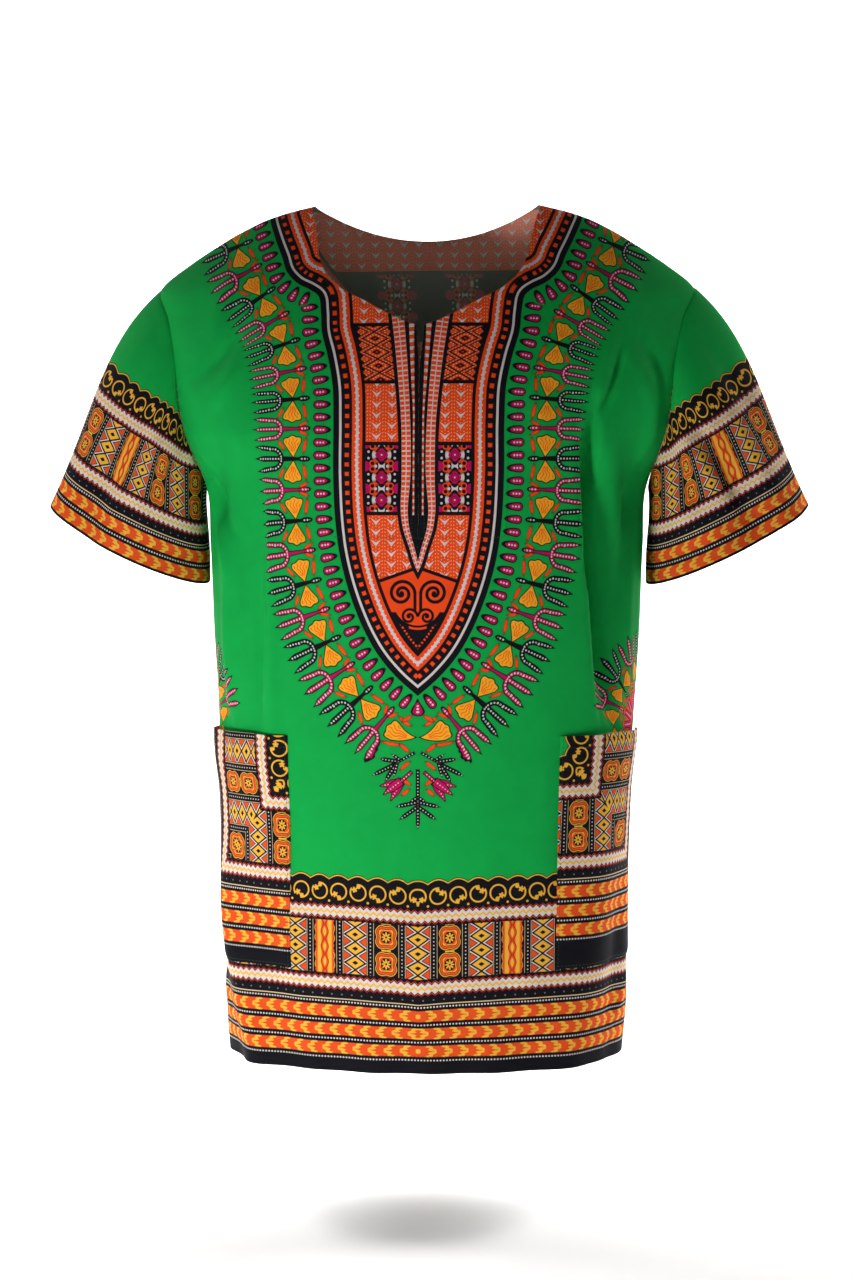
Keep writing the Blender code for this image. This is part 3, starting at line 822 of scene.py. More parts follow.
def choose_flowers(mesh, maps, near_side):
    """Points the flower map of the faces near the side seam at the rosette, and sends their drops away."""
    count = len(near_side)
    corner_points = np.empty(len(mesh.loops), np.int32)
    mesh.loops.foreach_get("vertex_index", corner_points)
    corner_points %= count
    loop_total = np.empty(len(mesh.polygons), np.int32)
    mesh.polygons.foreach_get("loop_total", loop_total)
    owner = np.repeat(np.arange(len(mesh.polygons)), loop_total)
    votes = np.bincount(owner, weights=near_side[corner_points].astype(float)) / loop_total
    picked = votes[owner] >= 0.5
    corners = {name: maps[name][corner_points] for name in ("flowers", "drops", "rosette")}
    corners["flowers"][picked] = corners["rosette"][picked]
    corners["drops"][picked] = (0.0, FAR_AWAY)
    for name in ("flowers", "drops"):
        mesh.uv_layers[name].data.foreach_set("uv", corners[name].astype(np.float32).reshape(-1))


def front_piece(prints):
    levels = row_levels(BODY_MARKS, FRONT_COUNTS)
    run, height = whole_panel("front", FRONT_COLUMNS, levels, FRONT_UPPER)
    rows, columns = run.shape
    middle = columns // 2
    points, normals = body_sheet("front", run, height)
    maps, near_side = body_maps("front", run, height)
    slit_row = len(levels) - 1 - FRONT_COUNTS[-1]
    faces = sheet_faces(rows, columns)
    faces = faces[faces[:, 0] % columns != middle - 1]
    order = np.ones(rows * columns, bool)
    number = np.arange(rows * columns)
    for row in range(rows):
        left, right = row * columns + middle - 1, row * columns + middle
        if row <= slit_row:
            order[right] = False
            number[right] = left
        else:
            gap = slit_half_gap(height[row, middle])
            points[row, middle - 1, 0] = -gap
            points[row, middle, 0] = gap
    new_number = np.cumsum(order) - 1
    faces = new_number[number[faces]]
    outer = points.reshape(-1, 3)[order]
    inner = outer - SHEET * normals.reshape(-1, 3)[order]
    maps = {name: values[order] for name, values in maps.items()}
    region = body_region(maps, faces, height.reshape(-1)[order])
    kept = {name: maps[name] for name in BODY_MAPS}
    piece = cloth_piece("front_cloth", outer, inner, faces, kept, prints, region)
    choose_flowers(piece.data, maps, near_side[order])
    return piece


def back_piece(prints):
    levels = row_levels(BODY_MARKS, BACK_COUNTS)
    run, height = whole_panel("back", BACK_COLUMNS, levels, BACK_UPPER)
    middle = run.shape[1] // 2
    run, height = np.delete(run, middle, axis=1), np.delete(height, middle, axis=1)
    points, normals = body_sheet("back", run, height)
    maps, near_side = body_maps("back", run, height)
    faces = sheet_faces(*run.shape)[:, ::-1]
    outer = points.reshape(-1, 3)
    inner = outer - SHEET * normals.reshape(-1, 3)
    region = body_region(maps, faces, height)
    kept = {name: maps[name] for name in BODY_MAPS}
    piece = cloth_piece("back_cloth", outer, inner, faces, kept, prints, region)
    choose_flowers(piece.data, maps, near_side)
    return piece


# Sleeves: how far up the border the cuff is cut, and the small creases, placed by degrees round the
# sleeve from its top by the front and by the share of the way down
CUFF_ON_BORDER = 0.031
CUFF_BORDER_SLACK = 0.002
SLEEVE_CREASE_FADE = 1.2
SLEEVE_CREASE_START = 0.08
SLEEVE_RIPPLE = 0.0005
SLEEVE_RIPPLES_ROUND = 5.0
SLEEVE_RIPPLES_DOWN = 7.0
SLEEVE_CREASE_COLUMNS = ("side", "turn_a", "share_a", "turn_b", "share_b", "depth", "reach")
SLEEVE_CREASES = (
    (-1, 152, 0.02, 92, 0.78, -0.0052, 7.0),
    (-1, 132, 0.02, 70, 0.66, 0.0040, 7.5),
    (-1, 112, 0.06, 58, 0.90, -0.0040, 7.0),
    (-1, 66, 0.10, 52, 0.98, -0.0034, 7.0),
    (-1, 84, 0.36, 78, 1.10, 0.0030, 7.5),
    (-1, 30, 0.05, 20, 0.60, 0.0026, 9.0),
    (-1, 250, 0.10, 285, 0.85, -0.0030, 11.0),
    (-1, 310, 0.10, 320, 0.80, 0.0024, 10.0),
    (1, 142, 0.02, 98, 0.82, -0.0050, 7.0),
    (1, 120, 0.02, 82, 0.74, 0.0042, 7.0),
    (1, 92, 0.10, 66, 1.00, -0.0044, 6.5),
    (1, 56, 0.16, 48, 1.10, 0.0036, 7.5),
    (1, 34, 0.05, 30, 0.90, -0.0030, 8.0),
    (1, 240, 0.10, 280, 0.85, -0.0030, 11.0),
    (1, 305, 0.10, 315, 0.85, 0.0026, 10.0),
)


def armhole_ring(side, steps):
    """The armhole's edge and its outward directions, down the front from the tip and up the back."""
    levels = between(UNDERARM, SHOULDER_TIP, np.linspace(1.0, 0.0, steps + 1))
    rings, facings = [], []
    for panel in ("front", "back"):
        run = side * armhole_run(panel, side, levels)
        ring = cloth_points(panel, run, levels)
        facing = cloth_normals(panel, run, levels)
        ring[0, 1] = ring[-1, 1] = 0.0
        facing[0, 1] = facing[-1, 1] = 0.0
        rings.append(ring)
        facings.append(facing)
    ring = np.concatenate([rings[0], rings[1][::-1][1:-1]])
    return ring, np.concatenate([facings[0], facings[1][::-1][1:-1]])


def sleeve_sheet(side):
    """The sleeve's outer face, armhole first, each row a ring from the top round by the front."""
    ring, facing = armhole_ring(side, ARMHOLE_STEPS)
    turns = np.linspace(0.0, 2.0 * np.pi, len(ring) + 1)[:-1]
    inner = np.array([CUFF_INNER[0], CUFF_SET_BACK, CUFF_INNER[1]])
    outer = np.array([CUFF_OUTER[0], CUFF_SET_BACK, CUFF_OUTER[1]])
    middle, half = 0.5 * (inner + outer), 0.5 * (outer - inner)
    down = np.array([half[2], 0.0, -half[0]]) / np.hypot(half[0], half[2])
    cuff = middle + np.cos(turns)[:, None] * half
    cuff[:, 1] -= CUFF_HALF_DEPTH * np.sin(turns)
    cuff += (CUFF_FRONT_DROP * np.sin(turns))[:, None] * down
    cuff[:, 0] *= side
    down[0] *= side
    top = 0.5 + 0.5 * np.cos(turns)
    leave_out = side * between(*LEAVE_OUT, top)
    leave_down = between(*LEAVE_DOWN, top)
    leave = unit(np.stack([leave_out, -LEAVE_FORWARD * np.sin(turns), -leave_down], axis=1))
    start = ring + SEAM_GAP * leave
    reach = np.linalg.norm(cuff - start, axis=1)[:, None]
    arrive = down * top[:, None]
    arrive[:, 2] -= 1.0 - top
    arrive = unit(arrive)
    shares = np.linspace(0.0, 1.0, SLEEVE_RINGS + 1)
    stations = []
    for part in shares:
        begin, end, leaving, meeting = curve_shares(part)
        point = begin * start + end * cuff + leaving * reach * leave + meeting * reach * arrive
        outward = point - point.mean(axis=0)
        outward = unit(outward - np.outer(outward @ down, down))
        push = np.zeros(len(ring))
        for fold in named_rows(SLEEVE_FOLDS, SLEEVE_FOLD_COLUMNS):
            if fold["side"] == side:
                away = (np.degrees(turns) - fold["turn"]) / fold["reach"]
                grown = soft_step((part - fold["start"]) / (1.0 - fold["start"]))
                push += fold["depth"] * np.exp(-(away**2)) * grown
        stations.append(point + push[:, None] * outward)
    points = np.array(stations)
    normals = side * ring_directions(points)
    share = soft_step(2.0 * (normals[0] * facing).sum(axis=1))[:, None]
    normals[0] = unit(normals[0] * (1.0 - share) + facing * share)
    return points, normals, np.degrees(turns), shares


def sleeve_crease_depth(side, turns, shares):
    """How far the small creases and ripples move the sleeve's cloth outwards, row by row."""
    turn, share = np.meshgrid(turns, shares)
    push = np.zeros(turn.shape)
    for crease in named_rows(SLEEVE_CREASES, SLEEVE_CREASE_COLUMNS):
        if crease["side"] != side:
            continue
        along = (share - crease["share_a"]) / (crease["share_b"] - crease["share_a"])
        along = np.clip(along, 0.0, 1.0)
        off = (turn - between(crease["turn_a"], crease["turn_b"], along)) / crease["reach"]
        fade = np.sin(np.pi * along) ** SLEEVE_CREASE_FADE
        push += crease["depth"] * fade * np.exp(-(off**2))
    ripple = np.sin(np.radians(turn) * SLEEVE_RIPPLES_ROUND + SLEEVE_RIPPLES_DOWN * share)
    return push + SLEEVE_RIPPLE * ripple


def sleeve_cloth(side):
    """The sleeve's outer face with its creases, its directions and the way down from the armhole."""
    points, normals, turns, shares = sleeve_sheet(side)
    grown = soft_step(shares / SLEEVE_CREASE_START)[:, None]
    push = sleeve_crease_depth(side, turns, shares) * grown
    step = np.linalg.norm(np.diff(points, axis=0), axis=2)
    down = np.concatenate([np.zeros((1, len(turns))), np.cumsum(step, axis=0)])
    push -= SEAM_DIP * (1.0 - soft_step(down / SEAM_REACH))
    return points + push[..., None] * normals, normals, turns, down


def sleeve_piece(name, side, prints):
    points, normals, _, down = sleeve_cloth(side)
    rows, columns = points.shape[:2]
    to_cuff = down[-1] - down
    seam = columns // 2
    order = list(range(seam, columns)) + list(range(seam + 1))
    points, normals, to_cuff = points[:, order], normals[:, order], to_cuff[:, order]
    columns = len(order)
    around = np.linalg.norm(np.diff(points[-1], axis=0), axis=1)
    run = summed(around)
    run = np.abs(run - run[columns // 2])
    run = np.broadcast_to(run, (rows, columns))
    border = np.stack([BODY_START + run, to_cuff + CUFF_ON_BORDER], axis=-1).reshape(-1, 2)
    faces = sheet_faces(rows, columns)
    rise = border[faces][:, :, 1].mean(axis=1)
    region = np.where(rise > BORDER_TOP + CUFF_BORDER_SLACK, 1, 0)
    merged = np.arange(rows * columns).reshape(rows, columns)
    merged[:, -1] = merged[:, 0]
    faces = merged.reshape(-1)[faces]
    if side > 0:
        faces = faces[:, ::-1]
    used, faces = np.unique(faces, return_inverse=True)
    faces = faces.reshape(-1, 4)
    outer = points.reshape(-1, 3)[used]
    inner = outer - SHEET * normals.reshape(-1, 3)[used]
    maps = {"border": border[used], "plain": border[used]}
    return cloth_piece(name, outer, inner, faces, maps, prints, region)


def pocket_sheet(side):
    """The pocket's inner face, its outward directions and its places on the front."""
    levels = np.linspace(POCKET_BOTTOM, POCKET_TOP, POCKET_ROWS + 1)
    girth = half_girth("front", side, levels)
    inner_run = POCKET_INNER_LEFT if side > 0 else POCKET_INNER_RIGHT
    first = inner_run * girth / girth[-1]
    last = girth - POCKET_OUTER_MARGIN
    part = np.linspace(1.0, 0.0, POCKET_COLUMNS + 1)[None, :]
    run = side * (last[:, None] - (last - first)[:, None] * part)
    height = np.broadcast_to(levels[:, None], run.shape)
    if side < 0:
        run, part = run[:, ::-1], part[:, ::-1]
    lift = soft_step(1.0 - (POCKET_TOP - height) / POCKET_GAPE_DEPTH)
    turn = np.pi * (POCKET_GAPE_START + (1.0 - POCKET_GAPE_START) * part)
    gape = POCKET_GAPE * lift * np.clip(np.sin(turn), 0.0, 1.0) ** POCKET_GAPE_FULLNESS
    points, normals = body_sheet("front", run, height)
    edge = np.minimum(part, 1.0 - part) * (last - first)[:, None]
    edge = np.minimum(edge, height - POCKET_BOTTOM)
    puff = POCKET_PUFF * soft_step(edge / POCKET_PUFF_REACH)
    base = points + (POCKET_LIFT + gape + puff)[..., None] * normals
    return base, normals, run, height, part * (last - first)[:, None]


# The pocket's cut on the border print: how far its bottom edge is above the hem line of the print, and
# where the inner edge of its upright part is
POCKET_CUT_COLUMNS = ("side", "hem_shift", "inner_border")
POCKET_CUTS = ((-1, -0.0025, 0.1745), (1, -0.0145, 0.1865))


def pocket_piece(name, side, prints):
    base, normals, run, height, from_outer = pocket_sheet(side)
    cut = [row for row in named_rows(POCKET_CUTS, POCKET_CUT_COLUMNS) if row["side"] == side][0]
    width = from_outer.max()
    upright = cut["inner_border"] - (width - from_outer)
    level = height - POCKET_BOTTOM + cut["hem_shift"]
    maps = {"border": np.stack([upright, level], axis=-1).reshape(-1, 2)}
    maps["plain"] = maps["border"]
    faces = sheet_faces(*run.shape)
    inner = base.reshape(-1, 3)
    outer = inner + (SHEET * normals).reshape(-1, 3)
    region = np.zeros(len(faces), int)
    return cloth_piece(name, outer, inner, faces, maps, prints, region)


# Print colours
GREEN = (0.0050, 0.345, 0.058)
BLACK = (0.0065, 0.0065, 0.0095)
RED = (0.860, 0.068, 0.010)
ORANGE = (0.700, 0.075, 0.014)
DARK_RED = (0.250, 0.010, 0.016)
YELLOW = (0.900, 0.390, 0.020)
GOLD = (0.760, 0.400, 0.040)
MAGENTA = (0.480, 0.006, 0.095)
WHITE = (0.640, 0.580, 0.560)
CREAM = (0.700, 0.520, 0.260)
GREY = (0.150, 0.150, 0.160)
PRINT_EDGE = 0.16
MILLIMETRES = 1000.0


class Number:
    """A number that a print works out at each place on the cloth. Sums with it add Math nodes."""

    def __init__(self, tree, socket):
        self.tree = tree
        self.socket = socket

    def __add__(self, other):
        return work("ADD", self, other)

    __radd__ = __add__

    def __sub__(self, other):
        return work("SUBTRACT", self, other)

    def __rsub__(self, other):
        return work("SUBTRACT", other, self)

    def __mul__(self, other):
        return work("MULTIPLY", self, other)

    __rmul__ = __mul__

    def __truediv__(self, other):
        return work("DIVIDE", self, other)

    def __neg__(self):
        return work("MULTIPLY", self, -1.0)

    def __abs__(self):
        return work("ABSOLUTE", self)


def work(operation, *values, clamp=False):
    """One Math node over numbers and plain values."""
    tree = [value.tree for value in values if isinstance(value, Number)][0]
    node = tree.nodes.new("ShaderNodeMath")
    node.operation = operation
    node.use_clamp = clamp
    for socket, value in zip(node.inputs, values):
        if isinstance(value, Number):
            tree.links.new(value.socket, socket)
        else:
            socket.default_value = float(value)
    return Number(tree, node.outputs[0])


def least(first, *others):
    for other in others:
        first = work("MINIMUM", first, other)
    return first


def most(first, *others):
    for other in others:
        first = work("MAXIMUM", first, other)
    return first


def repeat(value, pitch, start=0.0):
    """The distance from the nearest of evenly spaced places, signed."""
    if start:
        value = value - start
    return work("WRAP", value, 0.5 * pitch, -0.5 * pitch)


def saw(value, pitch):
    """Rises from 0 at each repeat's place to 1 halfway between two."""
    return work("PINGPONG", value, 0.5 * pitch) * (2.0 / pitch)


def wave(value, pitch):
    """A cosine that is 1 at each repeat's place."""
    return work("COSINE", value * (2.0 * np.pi / pitch))


def reach(across, up):
    """The distance from a motif's middle."""
    join = across.tree.nodes.new("ShaderNodeCombineXYZ")
    across.tree.links.new(across.socket, join.inputs[0])
    across.tree.links.new(up.socket, join.inputs[1])
    length = across.tree.nodes.new("ShaderNodeVectorMath")
    length.operation = "LENGTH"
    across.tree.links.new(join.outputs[0], length.inputs[0])
    return Number(across.tree, length.outputs["Value"])


def bearing(across, up):
    return work("ARCTAN2", up, across)


def seen_from(across, up, place, degrees):
    """Coordinates of the same spot from another place, with the first axis turned by degrees."""
    turn = np.radians(degrees)
    cosine, sine = np.cos(turn), np.sin(turn)
    out = work("MULTIPLY_ADD", across, cosine, up * sine + (-place[0] * cosine - place[1] * sine))
    aside = work("MULTIPLY_ADD", across, -sine, up * cosine + (place[0] * sine - place[1] * cosine))
    return out, aside


def new_material(name):
    """A material, its node tree and its shader."""
    material = bpy.data.materials.new(name)
    material.use_nodes = True
    return material, material.node_tree, material.node_tree.nodes["Principled BSDF"]


# Sockets of a Mix node for colours
MIX_SHARE = 0
MIX_FIRST = 6
MIX_SECOND = 7
MIX_RESULT = 2


def mixed(tree, share, first, second, blend="MIX"):
    """A mix of two colours. Each value is plain or another node's socket."""
    mix = tree.nodes.new("ShaderNodeMix")
    mix.data_type = "RGBA"
    mix.blend_type = blend
    for place, value in ((MIX_SHARE, share), (MIX_FIRST, first), (MIX_SECOND, second)):
        if isinstance(value, bpy.types.NodeSocket):
            tree.links.new(value, mix.inputs[place])
        else:
            mix.inputs[place].default_value = value
    return mix.outputs[MIX_RESULT]


class Print:
    """One printed cotton material. Colours are laid over each other, each inside its own shape."""

    def __init__(self, name, ground):
        self.material, self.tree, self.shader = new_material(name)
        self.colour = (*ground, 1.0)

    def coordinates(self, name):
        """The two values of a map on the piece, in millimetres."""
        read = self.tree.nodes.new("ShaderNodeUVMap")
        read.uv_map = name
        split = self.tree.nodes.new("ShaderNodeSeparateXYZ")
        self.tree.links.new(read.outputs[0], split.inputs[0])
        return [Number(self.tree, split.outputs[axis]) * MILLIMETRES for axis in (0, 1)]

    def lay(self, colour, shape, edge=PRINT_EDGE):
        """Lays a colour where the shape's number is below zero."""
        inside = work("MULTIPLY_ADD", shape, -0.5 / edge, 0.5, clamp=True)
        self.colour = mixed(self.tree, inside.socket, self.colour, (*colour, 1.0))

    def nest(self, form, frame, rows):
        """Lays colours one inside another, each as far out as its size, inside a frame."""
        for colour, size in rows:
            self.lay(colour, most(form - size, frame))


def border_print(paint):
    """The border: three bands of feathers, two of zigzags round a row of panels, and scrolls on top."""
    first, second = paint.coordinates("border")
    run = most(first, second) - BODY_START * MILLIMETRES
    up = least(first, second)
    bump = abs(wave(run, 2.0 * SCROLL_PITCH))
    edge = up - SCROLL_TOP - SCALLOP_RISE * bump
    paint.lay(BLACK, edge - 1.0)
    paint.lay(GOLD, abs(edge + 0.3) - 0.55)
    scroll_row(paint, run, up)
    panel_row(paint, run, up)
    for middle in ZIGZAG_MIDDLES:
        zigzag_band(paint, run, up - middle)
    feather_bands(paint, run, up)


SCROLL_PITCH = 18.2
SCROLL_TOP = 178.5
SCALLOP_RISE = 3.6
SCROLL_MIDDLE = 167.0
SCROLL_RADIUS = 7.2
SCROLL_STROKE = 0.75


def scroll_row(paint, run, up):
    """Open rings with a small leaf at the ring's end, turned up and down by turns."""
    across = repeat(run, SCROLL_PITCH)
    turned = work("SIGN", wave(run, 2.0 * SCROLL_PITCH))
    rise = (up - SCROLL_MIDDLE) * turned
    radius = reach(across, rise)
    gap = reach(across - 3.6, rise + 6.0) - 3.0
    paint.lay(GOLD, most(abs(radius - SCROLL_RADIUS) - SCROLL_STROKE, -gap))
    paint.lay(GOLD, reach(across + 0.4, rise + 5.4) - 1.9)
    leaf = reach(across - 3.4, rise + 2.6)
    spread = 1.5 + 1.3 * abs(work("COSINE", 2.5 * bearing(across - 3.4, rise + 2.6)))
    paint.lay(GOLD, leaf - spread)
    drop = reach(repeat(run, SCROLL_PITCH, 0.5 * SCROLL_PITCH), up - 158.2)
    paint.lay(GOLD, drop - 1.1)


ZIGZAG_MIDDLES = (148.6, 83.4)
ZIGZAG_PITCH = 6.2
ZIGZAG_RISE = 2.8


def zigzag_band(paint, run, off):
    """A white band with teeth on both edges and a yellow zigzag line, between dark red points."""
    tooth = saw(run, ZIGZAG_PITCH)
    away = abs(off)
    toothed = away - ZIGZAG_RISE * tooth
    paint.lay(BLACK, away - 8.2)
    paint.lay(DARK_RED, toothed - 4.7)
    paint.lay(ORANGE, most(abs(toothed - 4.3) - 0.35, away - 6.1))
    paint.lay(BLACK, toothed - 3.5)
    paint.lay(WHITE, toothed - 2.7)
    line = off - 2.6 * tooth + 1.3
    paint.lay(CREAM, abs(line) - 1.5, 0.4)
    paint.lay(GOLD, abs(line) - 0.8)


PANEL_PITCH = 28.8
PANEL_LOW = 92.2
PANEL_HIGH = 141.5
PANEL_MIDDLE = 116.0
DIAMOND_PITCH = 13.0
ROSE_PITCH = 24.6


def panel_row(paint, run, up):
    """Upright panels: columns of diamonds, and between them pairs of roses or a lens chain."""
    inside = most(PANEL_LOW - up, up - PANEL_HIGH)
    between = repeat(run, PANEL_PITCH, 0.5 * PANEL_PITCH)
    paint.lay(WHITE, most(reach(between, repeat(up, 3.4)) - 0.60, inside))
    paint.lay(CREAM, most(abs(abs(between) - 3.0) - 0.22, inside))
    diamonds(paint, repeat(run, 2.0 * PANEL_PITCH), up, inside)
    roses(paint, repeat(run, 4.0 * PANEL_PITCH, PANEL_PITCH), up, inside)
    roses(paint, repeat(run, 4.0 * PANEL_PITCH, -PANEL_PITCH), up, inside)
    lens_chain(paint, repeat(run, 6.0 * PANEL_PITCH, 3.0 * PANEL_PITCH), up, inside)


def diamonds(paint, across, up, inside):
    away = abs(across)
    level = abs(repeat(up, DIAMOND_PITCH, PANEL_MIDDLE - 0.4))
    column = most(away - 10.6, inside)
    paint.lay(ORANGE, column)
    sizes = ((BLACK, 9.4), (WHITE, 8.5), (BLACK, 7.3), (GOLD, 5.5), (BLACK, 2.0))
    paint.nest(level + away * 0.66, column, sizes)


def roses(paint, across, up, inside):
    level = repeat(up, ROSE_PITCH, PANEL_MIDDLE + 0.5 * ROSE_PITCH)
    angle = bearing(across, level)
    square = work("COSINE", 4.0 * angle)
    ripple = work("COSINE", 8.0 * angle)
    radius = reach(across, level * 0.86)
    form = radius + 1.1 * square + 0.25 * ripple
    frame = most(abs(across) - 11.2, inside)
    paint.lay(BLACK, frame)
    paint.nest(form, frame, ((GOLD, 10.2), (BLACK, 9.5), (ORANGE, 9.0)))
    paint.nest(form - 0.4 * ripple, frame, ((DARK_RED, 7.3), (GOLD, 6.7)))
    paint.lay(ORANGE, most(form - 5.7, frame))
    paint.lay(BLACK, most(radius - 4.9, frame))
    petal = radius - 1.2 - 3.0 * abs(square)
    paint.lay(GOLD, most(petal, frame))
    paint.lay(BLACK, most(radius - 0.9, frame))
    bridge = most(abs(across) - 4.2, abs(repeat(up, ROSE_PITCH, PANEL_MIDDLE)) - 0.8)
    paint.lay(GOLD, most(bridge, frame))


def lens_chain(paint, across, up, inside):
    away = abs(across)
    frame = most(away - 9.4 + 0.9 * abs(wave(up, 9.2)), inside)
    lens = away - 3.2 * abs(wave(up - PANEL_MIDDLE, 27.6))
    paint.lay(ORANGE, frame)
    paint.lay(GOLD, most(abs(away - 4.9) - 1.9, frame), 0.8)
    paint.lay(DARK_RED, most(lens - 0.8, frame))
    paint.lay(ORANGE, most(lens, frame))
    paint.lay(GOLD, most(lens + 1.7, frame))


FEATHER_LOW = 10.0
FEATHER_HIGH = 68.4
FEATHER_MIDDLE = 21.7
FEATHER_SPACING = 17.5
FEATHER_HALF = 5.5
FEATHER_PITCH = 14.6


def feather_bands(paint, run, up):
    """Orange bands of yellow arrow feathers that point away from the middle, between dotted lines."""
    off = repeat(up, FEATHER_SPACING, FEATHER_MIDDLE)
    away = abs(off)
    low = most(FEATHER_LOW - up, up - FEATHER_HIGH)
    paint.lay(BLACK, low - 1.0)
    from_middle = abs(up - FEATHER_MIDDLE - FEATHER_SPACING)
    middle_band = work("LESS_THAN", from_middle, 0.5 * FEATHER_SPACING)
    along = repeat(run + 0.95 * away + 0.5 * FEATHER_PITCH * middle_band, FEATHER_PITCH)
    band = most(away - FEATHER_HALF, low, up - 64.0, 13.0 - up)
    paint.lay(ORANGE, band)
    barbs = wave(away, 3.1)
    paint.lay(GOLD, most(abs(along - 0.3 * barbs) - 3.0 + 1.1 * barbs + 0.16 * away, band), 0.35)
    paint.lay(ORANGE, most(abs(off) - 0.4, abs(along + 1.6) - 1.6, band), 0.3)
    dots = reach(repeat(run, 2.9), FEATHER_SPACING * 0.5 - away)
    paint.lay(WHITE, most(dots - 0.80, low))
    paint.lay(CREAM, abs(up - 68.2) - 0.45)
    paint.lay(GREY, reach(repeat(run, 9.4, 4.7), up - 72.3) - 0.75)


BAND_DEPTH = 29.6
ROPE_MIDDLE = 21.9
ROPE_PITCH = 5.4
SQUARE_PITCH = 8.7
SQUARE_MIDDLE = 12.7
LINE_MIDDLE = 6.5


def neck_print(paint):
    """The neck ornament: bands along its outline, panels inside them and the tongue round the slit."""
    along, deep = paint.coordinates("shield")
    across, up = paint.coordinates("plain")
    neck_panels(paint, across, up, along, deep)
    paint.lay(BLACK, deep - BAND_DEPTH)
    paint.lay(RED, abs(deep - ROPE_MIDDLE) - 4.7)
    swell = 0.3 * wave(along, 0.5 * ROPE_PITCH)
    rope = abs(deep - ROPE_MIDDLE - 0.45 * wave(along, ROPE_PITCH)) - 1.45 - swell
    paint.lay(WHITE, rope)
    square = most(abs(repeat(along, SQUARE_PITCH, 0.5 * SQUARE_PITCH)), abs(deep - SQUARE_MIDDLE))
    paint.lay(RED, square - 1.9)
    paint.lay(WHITE, abs(deep - LINE_MIDDLE) - 1.1)
    neck_tongue(paint, across)


ARROW_COLUMN_PITCH = 14.0
ARROW_COLUMN_START = 10.0
ARROW_ROW_PITCH = 9.6
PANEL_BREAKS = (-119.2, -172.2, -228.0, -290.9)
PANEL_LINE = 1.6
SLANT_START = -339.4
SLANT = 0.35


def neck_panels(paint, across, up, along, deep):
    """Rows of panels between the bands and the tongue."""
    arrow_heads(paint, across, up)
    lattice(paint, across, up, most(up - PANEL_BREAKS[0], PANEL_BREAKS[1] - up))
    flower_panel(paint, across, up, most(up - PANEL_BREAKS[2], PANEL_BREAKS[3] - up))
    for level in PANEL_BREAKS:
        paint.lay(BLACK, abs(up - level) - PANEL_LINE)
    slant = up - SLANT_START + SLANT * across
    volutes(paint, across, up, slant, along, deep)
    paint.lay(BLACK, abs(slant) - PANEL_LINE)


def arrow_heads(paint, across, up):
    """White arrow heads in columns with rows of cream dots between them."""
    aside = abs(repeat(across, ARROW_COLUMN_PITCH, ARROW_COLUMN_START))
    rise = repeat(up, ARROW_ROW_PITCH)
    dot_row = repeat(rise - 0.72 * aside + 4.8, ARROW_ROW_PITCH / 3.0)
    dots = reach(repeat(aside, 2.9), dot_row)
    paint.lay(CREAM, dots - 0.46)
    head = most(rise - 0.62 * aside + 0.3, 1.35 * aside - 3.7 - rise)
    paint.lay(RED, head - 0.8)
    paint.lay(WHITE, head)


LATTICE_MIDDLE = 39.0
LATTICE_LEAN = 0.16
LATTICE_HEIGHT = -144.8
LATTICE_PITCH = 12.6
LATTICE_SLOPE = 0.54
LATTICE_SIDE = 15.4


def lattice(paint, across, up, inside):
    """Crossing dark lines with dotted bands between them, black diamonds and toothed sides."""
    away = abs(across - LATTICE_MIDDLE - LATTICE_LEAN * (up - LATTICE_HEIGHT))
    level = abs(repeat(up, LATTICE_PITCH, LATTICE_HEIGHT))
    nest = level + LATTICE_SLOPE * away
    paint.lay(RED, inside)
    dots = reach(repeat(nest, 3.15, 1.0), repeat(level - LATTICE_SLOPE * away, 2.6))
    paint.lay(CREAM, most(dots - 0.55, inside))
    paint.lay(BLACK, most(abs(nest - 0.5 * LATTICE_PITCH) - 0.75, inside))
    paint.lay(BLACK, most(abs(nest - 9.5) - 0.55, inside))
    paint.lay(BLACK, most(nest - 2.5, inside))
    paint.lay(RED, most(nest - 0.7, inside))
    tooth = saw(level, 0.5 * LATTICE_PITCH)
    paint.lay(BLACK, most(LATTICE_SIDE - 3.0 * tooth - away, inside))


FLOWER_MIDDLE = 33.0
FLOWER_HEIGHT = -258.5
FLOWER_PITCH = 20.3


def flower_panel(paint, across, up, inside):
    """A column of four-lobed flowers on black, with crescents and curls round them and halves aside."""
    aside = across - FLOWER_MIDDLE
    away = abs(aside)
    rise = repeat(up, FLOWER_PITCH, FLOWER_HEIGHT)
    level = abs(rise)
    angle = bearing(away, level)
    radius = reach(away, level)
    paint.lay(BLACK, inside)
    ring = abs(radius - 7.5) - 1.0
    paint.lay(RED, most(ring, abs(angle - 0.80) - 0.26, inside))
    paint.lay(RED, most(abs(reach(away - 8.3, level - 7.6) - 2.3) - 0.6, inside))
    paint.lay(WHITE, most(radius - 8.7, 6.9 - reach(away + 1.4, level), angle - 0.40, inside))
    moon = most(reach(away, level - 8.6) - 3.0, 2.7 - reach(away, level - 6.4))
    paint.lay(WHITE, most(moon, inside))
    paint.lay(GREY, most(reach(away - 5.6, level - 0.5 * FLOWER_PITCH) - 1.7, inside))
    paint.lay(WHITE, most(reach(away - 5.3, level - 0.5 * FLOWER_PITCH) - 1.3, inside))
    paint.lay(WHITE, most(reach(away - 11.9, level - 2.9) - 1.1, inside))
    paint.lay(MAGENTA, most(radius - 5.2 - 0.7 * work("COSINE", 4.0 * angle), inside))
    paint.lay(BLACK, most(abs(radius - 3.3) - 0.22, inside))
    paint.lay(WHITE, most(radius - 0.7, inside))
    half = reach(away - 14.8, 0.5 * FLOWER_PITCH - level)
    paint.lay(MAGENTA, most(half - 4.6, inside))


